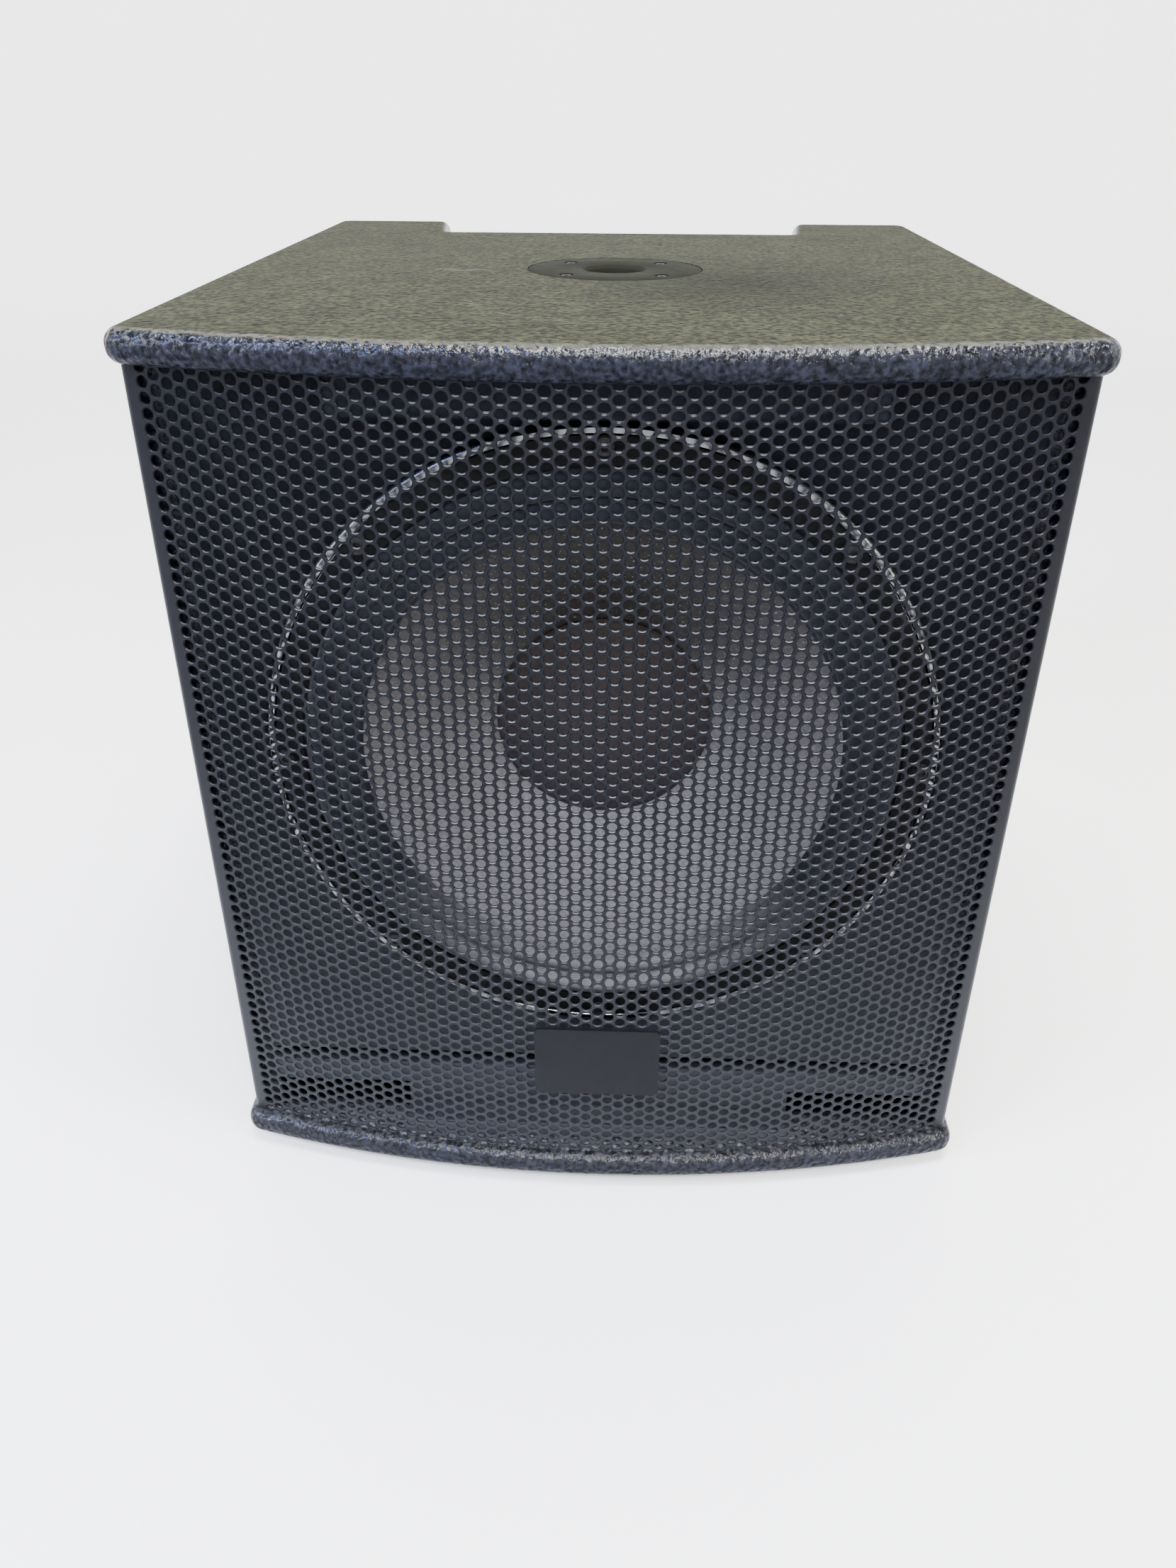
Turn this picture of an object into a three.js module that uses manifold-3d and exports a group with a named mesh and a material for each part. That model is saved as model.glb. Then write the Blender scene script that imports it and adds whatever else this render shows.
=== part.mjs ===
// Ported subwoofer cabinet, built as it comes apart on a bench: painted boards, a bowed perforated
// grille, a driver with its own moving body, a pole socket, side handles and a rear connector recess.
// Millimetres, +X right, +Y towards the back, +Z up. The origin is at the middle of the footprint,
// on the surface that the rubber feet stand on.
import * as THREE from 'three';
import { mergeVertices } from 'three/addons/utils/BufferGeometryUtils.js';
import Module from 'manifold-3d';

const wasm = await Module();
wasm.setup();

// Driving dimensions.
const PANEL_WIDTH = 496;      // top and bottom panels, the widest pieces
const DEPTH = 583;            // foremost point of the bow to the ends of the ears
const CASE_HEIGHT = 543;      // underside of the bottom panel to the top of the top panel
const FOOT_HEIGHT = 8;
const BOARD = 18;
const BOW = 33;               // how far the front curves forward at its middle
const LEDGE = 8;              // panel edge in front of the grille
const EDGE_ROUND = 8;         // rounding on the panels' edges
const SIDE_OUTER = 241.2;     // outer face of a side panel
const GRILLE_HALF = 243;
const GRILLE_SHEET = 1.5;
const GRILLE_FLANGE = 24;
const GAP = 0.3;              // between pieces that touch
const DRIVER_HEIGHT = 315;    // driver axis above the floor
const BOLT_CIRCLE = 183;
const SLOT_HEIGHT = 11;       // between the port shelf and the baffle
const PORT_HEIGHT = 29;
const PORT_INNER = 131;       // half width of the block between the two port mouths
const NOTCH_DEPTH = 87;
const NOTCH_HALF_FRONT = 139;
const NOTCH_HALF_BACK = 150;
const OVERHANG = 6;           // panels beyond the boards at the back
const SOCKET_BEHIND = 230;    // pole socket axis behind the grille's side edges
const CORNER_ROUND = 12;      // plan rounding of the panels' corners
const EAR_ROUND = 10;         // plan rounding of the ears' inner corners
const NOTCH_ROUND = 3;        // plan rounding where the ears meet the notch's floor
const FOOT_SPREAD = 200;      // feet to the left and right of the middle
const FOOT_DEPTHS = { front: 25, rear: 500 };

// Derived places.
const FRONT = -DEPTH / 2;
const BACK = DEPTH / 2;
const PANEL_CHORD = FRONT + BOW;
const FACE = PANEL_CHORD + LEDGE;           // the grille's side edges; depths below count from here
const FLOOR = FOOT_HEIGHT + BOARD;          // top of the bottom panel
const CEILING = FOOT_HEIGHT + CASE_HEIGHT - BOARD;
const SIDE_INNER = SIDE_OUTER - BOARD;
const INNER_HALF = SIDE_INNER - GAP;
const BOARD_LOW = FLOOR + GAP;
const BOARD_HIGH = CEILING - GAP;
const BAFFLE_FRONT = -1;
const SIDE_FRONT = 4.5;                     // front edge of the side panels, behind the grille's bend
const SHELF_LOW = FLOOR + PORT_HEIGHT;
const SHELF_TOP = SHELF_LOW + BOARD;
const REAR_FACE = BACK - FACE - OVERHANG;   // outer face of the rear boards
const RECESS_FACE = REAR_FACE - NOTCH_DEPTH;
const PORT_END = 331;

const paint = new THREE.MeshStandardMaterial({ color: 0x3c3d39, roughness: 0.75, metalness: 0 });
const darkWood = new THREE.MeshStandardMaterial({ color: 0x24262b, roughness: 0.85, metalness: 0 });
const bareWood = new THREE.MeshStandardMaterial({ color: 0x9a7b52, roughness: 0.8, metalness: 0 });
const grilleSteel = new THREE.MeshStandardMaterial({ color: 0x31343b, roughness: 0.5, metalness: 0.3 });
const basketMetal = new THREE.MeshStandardMaterial({ color: 0x2b2c30, roughness: 0.45, metalness: 0.5 });
const blackPlastic = new THREE.MeshStandardMaterial({ color: 0x17181a, roughness: 0.5, metalness: 0 });
const socketPlastic = new THREE.MeshStandardMaterial({ color: 0x3a3b3b, roughness: 0.5, metalness: 0 });
const rubber = new THREE.MeshStandardMaterial({ color: 0x141416, roughness: 0.9, metalness: 0 });
const cloth = new THREE.MeshStandardMaterial({ color: 0x2a2b30, roughness: 0.95, metalness: 0 });
const conePaper = new THREE.MeshStandardMaterial({ color: 0x37332f, roughness: 0.9, metalness: 0 });
const capPaper = new THREE.MeshStandardMaterial({ color: 0x2c2a2f, roughness: 0.85, metalness: 0 });
const ferrite = new THREE.MeshStandardMaterial({ color: 0x2c2c2e, roughness: 0.7, metalness: 0.1 });
const zincSteel = new THREE.MeshStandardMaterial({ color: 0x9a9a94, roughness: 0.4, metalness: 0.9 });
const blackSteel = new THREE.MeshStandardMaterial({ color: 0x1d1d1f, roughness: 0.4, metalness: 0.6 });
const copper = new THREE.MeshStandardMaterial({ color: 0xa5622f, roughness: 0.35, metalness: 0.9 });
const felt = new THREE.MeshStandardMaterial({ color: 0xd8d4c8, roughness: 1, metalness: 0 });
const redWire = new THREE.MeshStandardMaterial({ color: 0x9c1f1a, roughness: 0.5, metalness: 0 });
const boardGreen = new THREE.MeshStandardMaterial({ color: 0x2c5a3a, roughness: 0.6, metalness: 0 });

const cabinet = new THREE.Group();

function add(name, geometry, material, x = 0, y = 0, z = 0) {
  const mesh = new THREE.Mesh(geometry, material);
  mesh.name = name;
  mesh.position.set(x, y, z);
  cabinet.add(mesh);
  return mesh;
}

// Shared vertices are merged, needle triangles at a lathe's axis go, and the faces end up pointing out.
function closed(geometry) {
  const bare = geometry.clone();
  bare.deleteAttribute('normal');
  bare.deleteAttribute('uv');
  const merged = mergeVertices(bare, 1e-4);
  const index = merged.index.array;
  const place = merged.attributes.position;
  const a = new THREE.Vector3();
  const b = new THREE.Vector3();
  const c = new THREE.Vector3();
  const kept = [];
  let volume = 0;
  for (let i = 0; i < index.length; i += 3) {
    const [p, q, r] = [index[i], index[i + 1], index[i + 2]];
    if (p === q || q === r || r === p) continue;
    kept.push(p, q, r);
    a.fromBufferAttribute(place, p);
    b.fromBufferAttribute(place, q);
    c.fromBufferAttribute(place, r);
    volume += a.dot(b.cross(c));
  }
  merged.setIndex(volume < 0 ? kept.reverse() : kept);
  return merged;
}

function toSolid(geometry) {
  const shell = closed(geometry);
  const mesh = new wasm.Mesh({
    numProp: 3,
    vertProperties: new Float32Array(shell.attributes.position.array),
    triVerts: new Uint32Array(shell.index.array),
  });
  return new wasm.Manifold(mesh);
}

function toGeometry(solid) {
  const mesh = solid.getMesh();
  const geometry = new THREE.BufferGeometry();
  geometry.setAttribute('position', new THREE.BufferAttribute(new Float32Array(mesh.vertProperties), 3));
  geometry.setIndex(new THREE.BufferAttribute(new Uint32Array(mesh.triVerts), 1));
  return geometry;
}

function cut(geometry, ...cutters) {
  return toGeometry(cutters.reduce((solid, cutter) => solid.subtract(toSolid(cutter)), toSolid(geometry)));
}

// A block between two opposite corners, with depths counted from the grille's side edges.
function block([x0, x1], [y0, y1], [z0, z1]) {
  const geometry = new THREE.BoxGeometry(x1 - x0, y1 - y0, z1 - z0);
  return geometry.translate((x0 + x1) / 2, FACE + (y0 + y1) / 2, (z0 + z1) / 2);
}

// A board cut to a plan outline of [x, depth] points and standing between two heights.
function planBoard(outline, z0, z1) {
  const shape = new THREE.Shape(outline.map(([x, y]) => new THREE.Vector2(x, FACE + y)));
  const geometry = new THREE.ExtrudeGeometry(shape, { depth: z1 - z0, bevelEnabled: false });
  return geometry.translate(0, 0, z0);
}

// A turned piece about the driver axis, from a closed profile of [radius, depth] points.
function turnedAboutDriver(profile, segments) {
  const points = profile.map(([r, y]) => new THREE.Vector2(r, y));
  const turned = new THREE.LatheGeometry([...points, points[0].clone()], segments);
  return turned.translate(0, FACE, DRIVER_HEIGHT);
}

// A turned piece about an upright axis, from a closed profile of [radius, height] points.
function turnedUpright(profile, segments) {
  const points = profile.map(([r, z]) => new THREE.Vector2(r, z));
  const turned = new THREE.LatheGeometry([...points, points[0].clone()], segments);
  return turned.rotateX(Math.PI / 2);
}

function cylinderAlongY(radius, y0, y1, segments) {
  const geometry = new THREE.CylinderGeometry(radius, radius, y1 - y0, segments);
  return geometry.translate(0, FACE + (y0 + y1) / 2, 0);
}

function cylinderAlongZ(radius, z0, z1, segments) {
  const geometry = new THREE.CylinderGeometry(radius, radius, z1 - z0, segments);
  return geometry.rotateX(Math.PI / 2).translate(0, 0, (z0 + z1) / 2);
}

// Depth of a front curve with its ends at chord and its middle BOW further forward.
function bowed(x, half, chord) {
  const radius = (half * half + BOW * BOW) / (2 * BOW);
  return chord - (Math.sqrt(radius * radius - x * x) - (radius - BOW));
}

// A polygon with its corners rounded; each corner is [x, y] or [x, y, radius].
function rounded(corners, steps = 4) {
  const outline = [];
  corners.forEach(([x, y, radius], i) => {
    if (!radius) {
      outline.push([x, y]);
      return;
    }
    const here = new THREE.Vector2(x, y);
    const before = new THREE.Vector2(...corners.at(i - 1).slice(0, 2)).sub(here).normalize();
    const after = new THREE.Vector2(...corners[(i + 1) % corners.length].slice(0, 2)).sub(here).normalize();
    const half = Math.acos(THREE.MathUtils.clamp(before.dot(after), -1, 1)) / 2;
    const setback = radius / Math.tan(half);
    const start = here.clone().addScaledVector(before, setback);
    const end = here.clone().addScaledVector(after, setback);
    const middle = before.clone().add(after).normalize().multiplyScalar(radius / Math.sin(half)).add(here);
    const from = Math.atan2(start.y - middle.y, start.x - middle.x);
    let sweep = Math.atan2(end.y - middle.y, end.x - middle.x) - from;
    if (sweep > Math.PI) sweep -= 2 * Math.PI;
    if (sweep < -Math.PI) sweep += 2 * Math.PI;
    for (let step = 0; step <= steps; step += 1) {
      const angle = from + (sweep * step) / steps;
      outline.push([middle.x + radius * Math.cos(angle), middle.y + radius * Math.sin(angle)]);
    }
  });
  return outline;
}

// ---- Top and bottom panels -------------------------------------------------

function panelOutline() {
  const half = PANEL_WIDTH / 2;
  const steps = 16;
  const front = [];
  for (let step = 1; step < steps; step += 1) {
    const x = -half + (PANEL_WIDTH * step) / steps;
    front.push([x, bowed(x, half, PANEL_CHORD)]);
  }
  const notchFloor = BACK - NOTCH_DEPTH;
  return rounded([
    [-half, PANEL_CHORD, CORNER_ROUND], ...front, [half, PANEL_CHORD, CORNER_ROUND],
    [half, BACK, CORNER_ROUND], [NOTCH_HALF_BACK, BACK, EAR_ROUND],
    [NOTCH_HALF_FRONT, notchFloor, NOTCH_ROUND], [-NOTCH_HALF_FRONT, notchFloor, NOTCH_ROUND],
    [-NOTCH_HALF_BACK, BACK, EAR_ROUND], [-half, BACK, CORNER_ROUND],
  ]);
}

function panel(z0) {
  const shape = new THREE.Shape(panelOutline().map(([x, y]) => new THREE.Vector2(x, y)));
  const rounding = {
    depth: BOARD - 2 * EDGE_ROUND,
    bevelThickness: EDGE_ROUND,
    bevelSize: EDGE_ROUND,
    bevelOffset: -EDGE_ROUND,
    bevelSegments: 2,
  };
  return new THREE.ExtrudeGeometry(shape, rounding).translate(0, 0, z0 + EDGE_ROUND);
}

const TOP = CEILING + BOARD;
const SOCKET_Y = FACE + SOCKET_BEHIND;
const SOCKET_FLANGE_RADIUS = 56.5;
const SOCKET_FLANGE = 2.7;
const SOCKET_BODY_RADIUS = 24;
const SOCKET_SCREW_CIRCLE = 42.5;
const SOCKET_REBATE = 3;
const SOCKET_CLEARANCE = 0.5;
const PILOT_RADIUS = 2.2;
const PILOT_DEPTH = 17;

function socketScrewPlaces() {
  return [45, 135, 225, 315].map((degrees) => {
    const angle = THREE.MathUtils.degToRad(degrees);
    return [SOCKET_SCREW_CIRCLE * Math.cos(angle), SOCKET_Y + SOCKET_SCREW_CIRCLE * Math.sin(angle)];
  });
}

function topPanel() {
  const rebate = cylinderAlongZ(SOCKET_FLANGE_RADIUS + SOCKET_CLEARANCE, TOP - SOCKET_REBATE, TOP + 1, 32);
  const bodyHole = cylinderAlongZ(SOCKET_BODY_RADIUS + SOCKET_CLEARANCE, CEILING - 1, TOP + 1, 24);
  const pilots = socketScrewPlaces().map(
    ([x, y]) => cylinderAlongZ(PILOT_RADIUS, TOP - PILOT_DEPTH, TOP, 6).translate(x, y, 0),
  );
  return cut(panel(CEILING), rebate.translate(0, SOCKET_Y, 0), bodyHole.translate(0, SOCKET_Y, 0), ...pilots);
}

// ---- Case boards -----------------------------------------------------------

const HANDLE_MIDDLE = 300;    // depth of the side handles' middle
const HANDLE_LOW = 300;
const HANDLE_HIGH = 400;
const HANDLE_LENGTH = 170;
const HANDLE_WALL = 2.5;
const HANDLE_FLANGE = 2.5;
const HANDLE_MARGIN = 16;     // flange beyond the pocket on every side
const HANDLE_POCKET = 56;     // depth of the pocket from the side panel's face
const GRIP_RADIUS = 12;
const GRIP_DROP = 28;         // grip bar's axis below the top of the pocket

function sidePanel(side) {
  const board = block([SIDE_INNER, SIDE_OUTER], [SIDE_FRONT, REAR_FACE], [BOARD_LOW, BOARD_HIGH]);
  const reach = HANDLE_LENGTH / 2 + HANDLE_WALL + GAP;
  const opening = block(
    [SIDE_INNER - 1, SIDE_OUTER + 1],
    [HANDLE_MIDDLE - reach, HANDLE_MIDDLE + reach],
    [HANDLE_LOW - HANDLE_WALL - GAP, HANDLE_HIGH + HANDLE_WALL + GAP],
  );
  return mirrored(cut(board, opening), side);
}

function mirrored(geometry, side) {
  return side > 0 ? geometry : closed(geometry.scale(-1, 1, 1));
}

const RECESS_LEAN = (NOTCH_HALF_BACK - NOTCH_HALF_FRONT) / NOTCH_DEPTH;

// Half width of the recess between the cheeks at a depth.
function recessHalf(depth) {
  return NOTCH_HALF_BACK + OVERHANG + (depth - REAR_FACE) * RECESS_LEAN;
}

const CONNECTOR_HEIGHT = 260;
const CONNECTOR_SPACING = 64;
const CONNECTOR_PLATE_HALF = [75, 55];      // half width and half height
const CONNECTOR_OPENING_HALF = [60, 40];
const CONNECTOR_PLATE = 2;

function recessBack() {
  const inner = RECESS_FACE - BOARD;
  const outline = [
    [-recessHalf(inner) + GAP, inner], [recessHalf(inner) - GAP, inner],
    [recessHalf(RECESS_FACE) - GAP, RECESS_FACE], [-recessHalf(RECESS_FACE) + GAP, RECESS_FACE],
  ];
  const [halfWidth, halfHeight] = CONNECTOR_OPENING_HALF;
  const opening = block(
    [-halfWidth, halfWidth],
    [inner - 1, RECESS_FACE + 1],
    [CONNECTOR_HEIGHT - halfHeight, CONNECTOR_HEIGHT + halfHeight],
  );
  return cut(planBoard(outline, BOARD_LOW, BOARD_HIGH), opening);
}

function recessCheek(side) {
  const inner = RECESS_FACE - BOARD;
  const outline = [
    [recessHalf(inner), inner], [recessHalf(inner) + BOARD, inner],
    [recessHalf(REAR_FACE) + BOARD, REAR_FACE], [recessHalf(REAR_FACE), REAR_FACE],
  ];
  return planBoard(outline.map(([x, y]) => [side * x, y]), BOARD_LOW, BOARD_HIGH);
}

function rearPanel(side) {
  const innerEnd = recessHalf(REAR_FACE) + BOARD + GAP;
  const board = block([innerEnd, INNER_HALF], [REAR_FACE - BOARD, REAR_FACE], [BOARD_LOW, BOARD_HIGH]);
  return mirrored(board, side);
}

function boltPlaces() {
  return Array.from({ length: 8 }, (_, i) => {
    const angle = (i * Math.PI) / 4;
    return [BOLT_CIRCLE * Math.cos(angle), DRIVER_HEIGHT + BOLT_CIRCLE * Math.sin(angle)];
  });
}

function boltHoles(radius, y0, y1) {
  return boltPlaces().map(([x, z]) => cylinderAlongY(radius, y0, y1, 6).translate(x, 0, z));
}

const BAFFLE_BACK = BAFFLE_FRONT + BOARD;
const BAFFLE_LOW = SHELF_TOP + SLOT_HEIGHT;
const DRIVER_OPENING = 174.5;
const BOLT_HOLE = 3;
const BRACE_DEPTH = 178;
const BRACE_WINDOW_ROUND = 40;

function baffle() {
  const board = block([-INNER_HALF, INNER_HALF], [BAFFLE_FRONT, BAFFLE_BACK], [BAFFLE_LOW, BOARD_HIGH]);
  const through = [BAFFLE_FRONT - 1, BAFFLE_BACK + 1];
  const opening = cylinderAlongY(DRIVER_OPENING, ...through, 36).translate(0, 0, DRIVER_HEIGHT);
  return cut(board, opening, ...boltHoles(BOLT_HOLE, ...through));
}

function windowBrace() {
  const depths = [BRACE_DEPTH, BRACE_DEPTH + BOARD];
  const outer = block([-INNER_HALF, INNER_HALF], depths, [SHELF_TOP + GAP, BOARD_HIGH]);
  const corners = [[-160, 135], [160, 135], [160, 470], [-160, 470]];
  const outline = rounded(corners.map(([x, z]) => [x, z, BRACE_WINDOW_ROUND]));
  const shape = new THREE.Shape(outline.map(([x, z]) => new THREE.Vector2(x, -z)));
  const window = new THREE.ExtrudeGeometry(shape, { depth: BOARD + 2, bevelEnabled: false });
  return cut(outer, window.rotateX(-Math.PI / 2).translate(0, FACE + BRACE_DEPTH - 1, 0));
}

// ---- Grille ----------------------------------------------------------------

const GRILLE_BEND = 5;

function grille() {
  const steps = 18;
  const half = GRILLE_HALF;
  const spine = [[-half, GRILLE_FLANGE], [-half, 0, GRILLE_BEND]];
  for (let step = 1; step < steps; step += 1) {
    const x = -half + (2 * half * step) / steps;
    spine.push([x, bowed(x, half, 0)]);
  }
  spine.push([half, 0, GRILLE_BEND], [half, GRILLE_FLANGE]);
  const outer = rounded(spine, 3);
  const inner = outer.map(([x, y], i) => {
    const [px, py] = outer[Math.max(i - 1, 0)];
    const [qx, qy] = outer[Math.min(i + 1, outer.length - 1)];
    const length = Math.hypot(qx - px, qy - py);
    return [x - ((qy - py) / length) * GRILLE_SHEET, y + ((qx - px) / length) * GRILLE_SHEET];
  });
  return planBoard([...outer, ...inner.reverse()], BOARD_LOW, BOARD_HIGH);
}

// ---- Driver ----------------------------------------------------------------

// A thin turned skin that follows a spine of [radius, depth] points.
function turnedSkin(spine, thickness, segments) {
  const back = spine.map(([r, y], i) => {
    const [pr, py] = spine[Math.max(i - 1, 0)];
    const [qr, qy] = spine[Math.min(i + 1, spine.length - 1)];
    const length = Math.hypot(qr - pr, qy - py);
    return [r + ((qy - py) / length) * thickness, y - ((qr - pr) / length) * thickness];
  });
  return turnedAboutDriver([...spine, ...back.reverse()], segments);
}

function basket() {
  const body = turnedAboutDriver([
    [170, -4.2], [188.3, -4.2], [188.7, -8], [192, -8], [194, -6], [194, BAFFLE_FRONT - GAP],
    [173, BAFFLE_FRONT - GAP], [172, 12], [152, 60], [129, 82], [127, 87.5], [104, 87.5], [103, 112],
    [58, 112], [58, 108.5], [99, 108.5], [100, 84], [124, 84], [126, 79], [148.5, 58], [168.5, 12],
  ], 36);
  const windows = [];
  for (let spoke = 0; spoke < 6; spoke += 1) {
    const start = ((spoke * 60 + 8) * Math.PI) / 180;
    const end = ((spoke * 60 + 52) * Math.PI) / 180;
    const sector = new THREE.Shape();
    sector.absarc(0, 0, 182, start, end, false);
    sector.absarc(0, 0, 112, end, start, true);
    const prism = new THREE.ExtrudeGeometry(sector, { depth: 54, bevelEnabled: false, curveSegments: 3 });
    windows.push(prism.rotateX(-Math.PI / 2).translate(0, FACE + 22, DRIVER_HEIGHT));
  }
  return cut(body, ...windows, ...boltHoles(BOLT_HOLE, -10, 2));
}

function frontGasket() {
  const band = turnedAboutDriver([[172.5, -7.7], [188, -7.7], [188, -5.3], [172.5, -5.3]], 36);
  return cut(band, ...boltHoles(BOLT_HOLE, -10, 2));
}

const ROLL_HALF = 7.25;
const ROLL_HEIGHT = 6.5;

// Two half rolls side by side, between the clamped rim and the cone's edge.
function surround() {
  const spine = [[176.5, -5], [171, -5]];
  [[163.75, -4.4], [149.25, -3]].forEach(([middle, foot]) => {
    for (let step = 1; step < 5; step += 1) {
      const angle = (Math.PI * step) / 5;
      spine.push([middle + ROLL_HALF * Math.cos(angle), foot - ROLL_HEIGHT * Math.sin(angle)]);
    }
    spine.push([middle - ROLL_HALF, foot + 0.7]);
  });
  return turnedSkin(spine, 0.6, 30);
}

function cone() {
  const front = [[141.2, -1], [104, 22], [67, 50], [52.6, 66]];
  const back = front.map(([r, y]) => [r, y + 2]).reverse();
  return turnedAboutDriver([...front, ...back], 32);
}

function dustCap() {
  const rim = 66;
  const rise = 19.5;
  const radius = (rim * rim + rise * rise) / (2 * rise);
  const front = [];
  for (let step = 0; step <= 4; step += 1) {
    const r = (rim * step) / 4;
    front.push([r, 49 - (Math.sqrt(radius * radius - r * r) - (radius - rise))]);
  }
  const back = front.map(([r, y]) => [r, y + 1.2]).reverse();
  return turnedAboutDriver([...front, ...back], 28);
}

function spider() {
  const spine = [[123, 83]];
  for (let step = 0; step <= 6; step += 1) {
    spine.push([102 - step * 7.4, step % 2 ? 77.5 : 81.5]);
  }
  spine.push([52.2, 79.5]);
  return turnedSkin(spine, 0.6, 24);
}

// A plain ring about the driver axis, between two radii and two depths.
function ring([inner, outer], [front, back]) {
  return closed(turnedAboutDriver([[inner, front], [outer, front], [outer, back], [inner, back]], 32));
}

function driverBolt() {
  return closed(new THREE.LatheGeometry([
    [0, -12], [4.4, -12], [5, -11.4], [5, -8], [2.6, -8], [2.6, 14], [0, 14],
  ].map(([r, y]) => new THREE.Vector2(r, y)), 12));
}

// ---- Pole socket -----------------------------------------------------------

function poleSocket() {
  const flangeLow = TOP - SOCKET_FLANGE;
  const bottom = TOP - 84;
  const body = turnedUpright([
    [0, bottom], [SOCKET_BODY_RADIUS, bottom], [SOCKET_BODY_RADIUS, flangeLow],
    [SOCKET_FLANGE_RADIUS, flangeLow], [SOCKET_FLANGE_RADIUS, TOP - 0.6], [SOCKET_FLANGE_RADIUS - 0.6, TOP],
    [20.5, TOP], [18.5, TOP - 2], [18.5, bottom + 4], [0, bottom + 4],
  ], 32);
  const holes = socketScrewPlaces().flatMap(([x, y]) => [
    cylinderAlongZ(2.3, TOP - 4, TOP, 8).translate(x, y - SOCKET_Y, 0),
    cylinderAlongZ(4.3, TOP - 1.7, TOP + 1, 10).translate(x, y - SOCKET_Y, 0),
  ]);
  return cut(body, ...holes);
}

function socketScrew() {
  return closed(turnedUpright([
    [0, TOP - 15], [1.8, TOP - 14], [1.8, TOP - 1.4], [3.9, TOP - 1.4], [3.9, TOP - 0.4], [0, TOP - 0.4],
  ], 12));
}

// ---- Rear connectors, handles, feet ----------------------------------------

function connectorPlate() {
  const [halfWidth, halfHeight] = CONNECTOR_PLATE_HALF;
  const plate = block(
    [-halfWidth, halfWidth],
    [RECESS_FACE + GAP, RECESS_FACE + GAP + CONNECTOR_PLATE],
    [CONNECTOR_HEIGHT - halfHeight, CONNECTOR_HEIGHT + halfHeight],
  );
  const holes = [-1, 1].map((side) => cylinderAlongY(13.5, RECESS_FACE - 1, RECESS_FACE + 4, 24)
    .translate((side * CONNECTOR_SPACING) / 2, 0, CONNECTOR_HEIGHT));
  return cut(plate, ...holes);
}

function speakerSocket() {
  const face = RECESS_FACE + GAP + CONNECTOR_PLATE + GAP;
  const profile = [
    [0, face - 27], [13, face - 27], [13, face], [17, face], [17, face + 1.6], [16, face + 2.4],
    [11.6, face + 2.4], [10.8, face + 1.4], [10.8, face - 21], [0, face - 21],
  ];
  const points = profile.map(([r, y]) => new THREE.Vector2(r, y));
  return closed(new THREE.LatheGeometry([...points, points[0].clone()], 24));
}

function sideHandle(side) {
  const reach = HANDLE_LENGTH / 2;
  const depths = (extra) => [HANDLE_MIDDLE - reach - extra, HANDLE_MIDDLE + reach + extra];
  const heights = (extra) => [HANDLE_LOW - extra, HANDLE_HIGH + extra];
  const face = SIDE_OUTER + GAP;
  const pocketEnd = SIDE_OUTER - HANDLE_POCKET;
  const flange = toSolid(block([face, face + HANDLE_FLANGE], depths(HANDLE_MARGIN), heights(HANDLE_MARGIN)));
  const cup = toSolid(block([pocketEnd - HANDLE_WALL, face + 1], depths(HANDLE_WALL), heights(HANDLE_WALL)));
  const pocket = toSolid(block([pocketEnd, face + 5], depths(0), heights(0)));
  const grip = toSolid(cylinderAlongY(GRIP_RADIUS, ...depths(1), 14)
    .translate(face - GRIP_RADIUS, 0, HANDLE_HIGH - GRIP_DROP));
  return mirrored(toGeometry(flange.add(cup).subtract(pocket).add(grip)), side);
}

function rubberFoot() {
  return closed(turnedUpright([
    [0, 0], [16.5, 0], [18, 1.5], [19, FOOT_HEIGHT - GAP], [0, FOOT_HEIGHT - GAP],
  ], 20));
}

// ---- Filter, wiring and damping --------------------------------------------

const FILTER_DEPTH = 382;
const FILTER_TOP = BOARD_LOW + 2;
const LEAD_RADIUS = 1.6;

function inductor() {
  const winding = turnedUpright([[12, 0], [30, 0], [30, 24], [12, 24]], 20);
  return winding.translate(-36, FACE + FILTER_DEPTH, FILTER_TOP + GAP);
}

function capacitor() {
  const body = new THREE.CylinderGeometry(12, 12, 48, 14).rotateZ(Math.PI / 2);
  return body.translate(32, FACE + FILTER_DEPTH, FILTER_TOP + GAP + 12.2);
}

// Runs from the filter up behind the port shelf and through the brace window to the driver.
function driverLead(offset) {
  const route = [
    [offset, 412, FILTER_TOP + 3], [offset, 413, 90], [offset, 385, 150], [offset * 0.8, 300, 172],
    [offset * 0.6, 200, 176], [offset * 0.5, 140, 190], [offset * 0.5, 112, 203], [offset * 0.5, 108.6, 203],
  ].map(([x, y, z]) => new THREE.Vector3(x, FACE + y, z));
  const section = new THREE.Shape();
  section.absarc(0, 0, LEAD_RADIUS, 0, 2 * Math.PI, false);
  const extrudePath = new THREE.CatmullRomCurve3(route);
  const options = { steps: 20, extrudePath, curveSegments: 4, bevelEnabled: false };
  return new THREE.ExtrudeGeometry(section, options);
}

// ---- Assembly --------------------------------------------------------------

const sides = [['left', -1], ['right', 1]];

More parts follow.
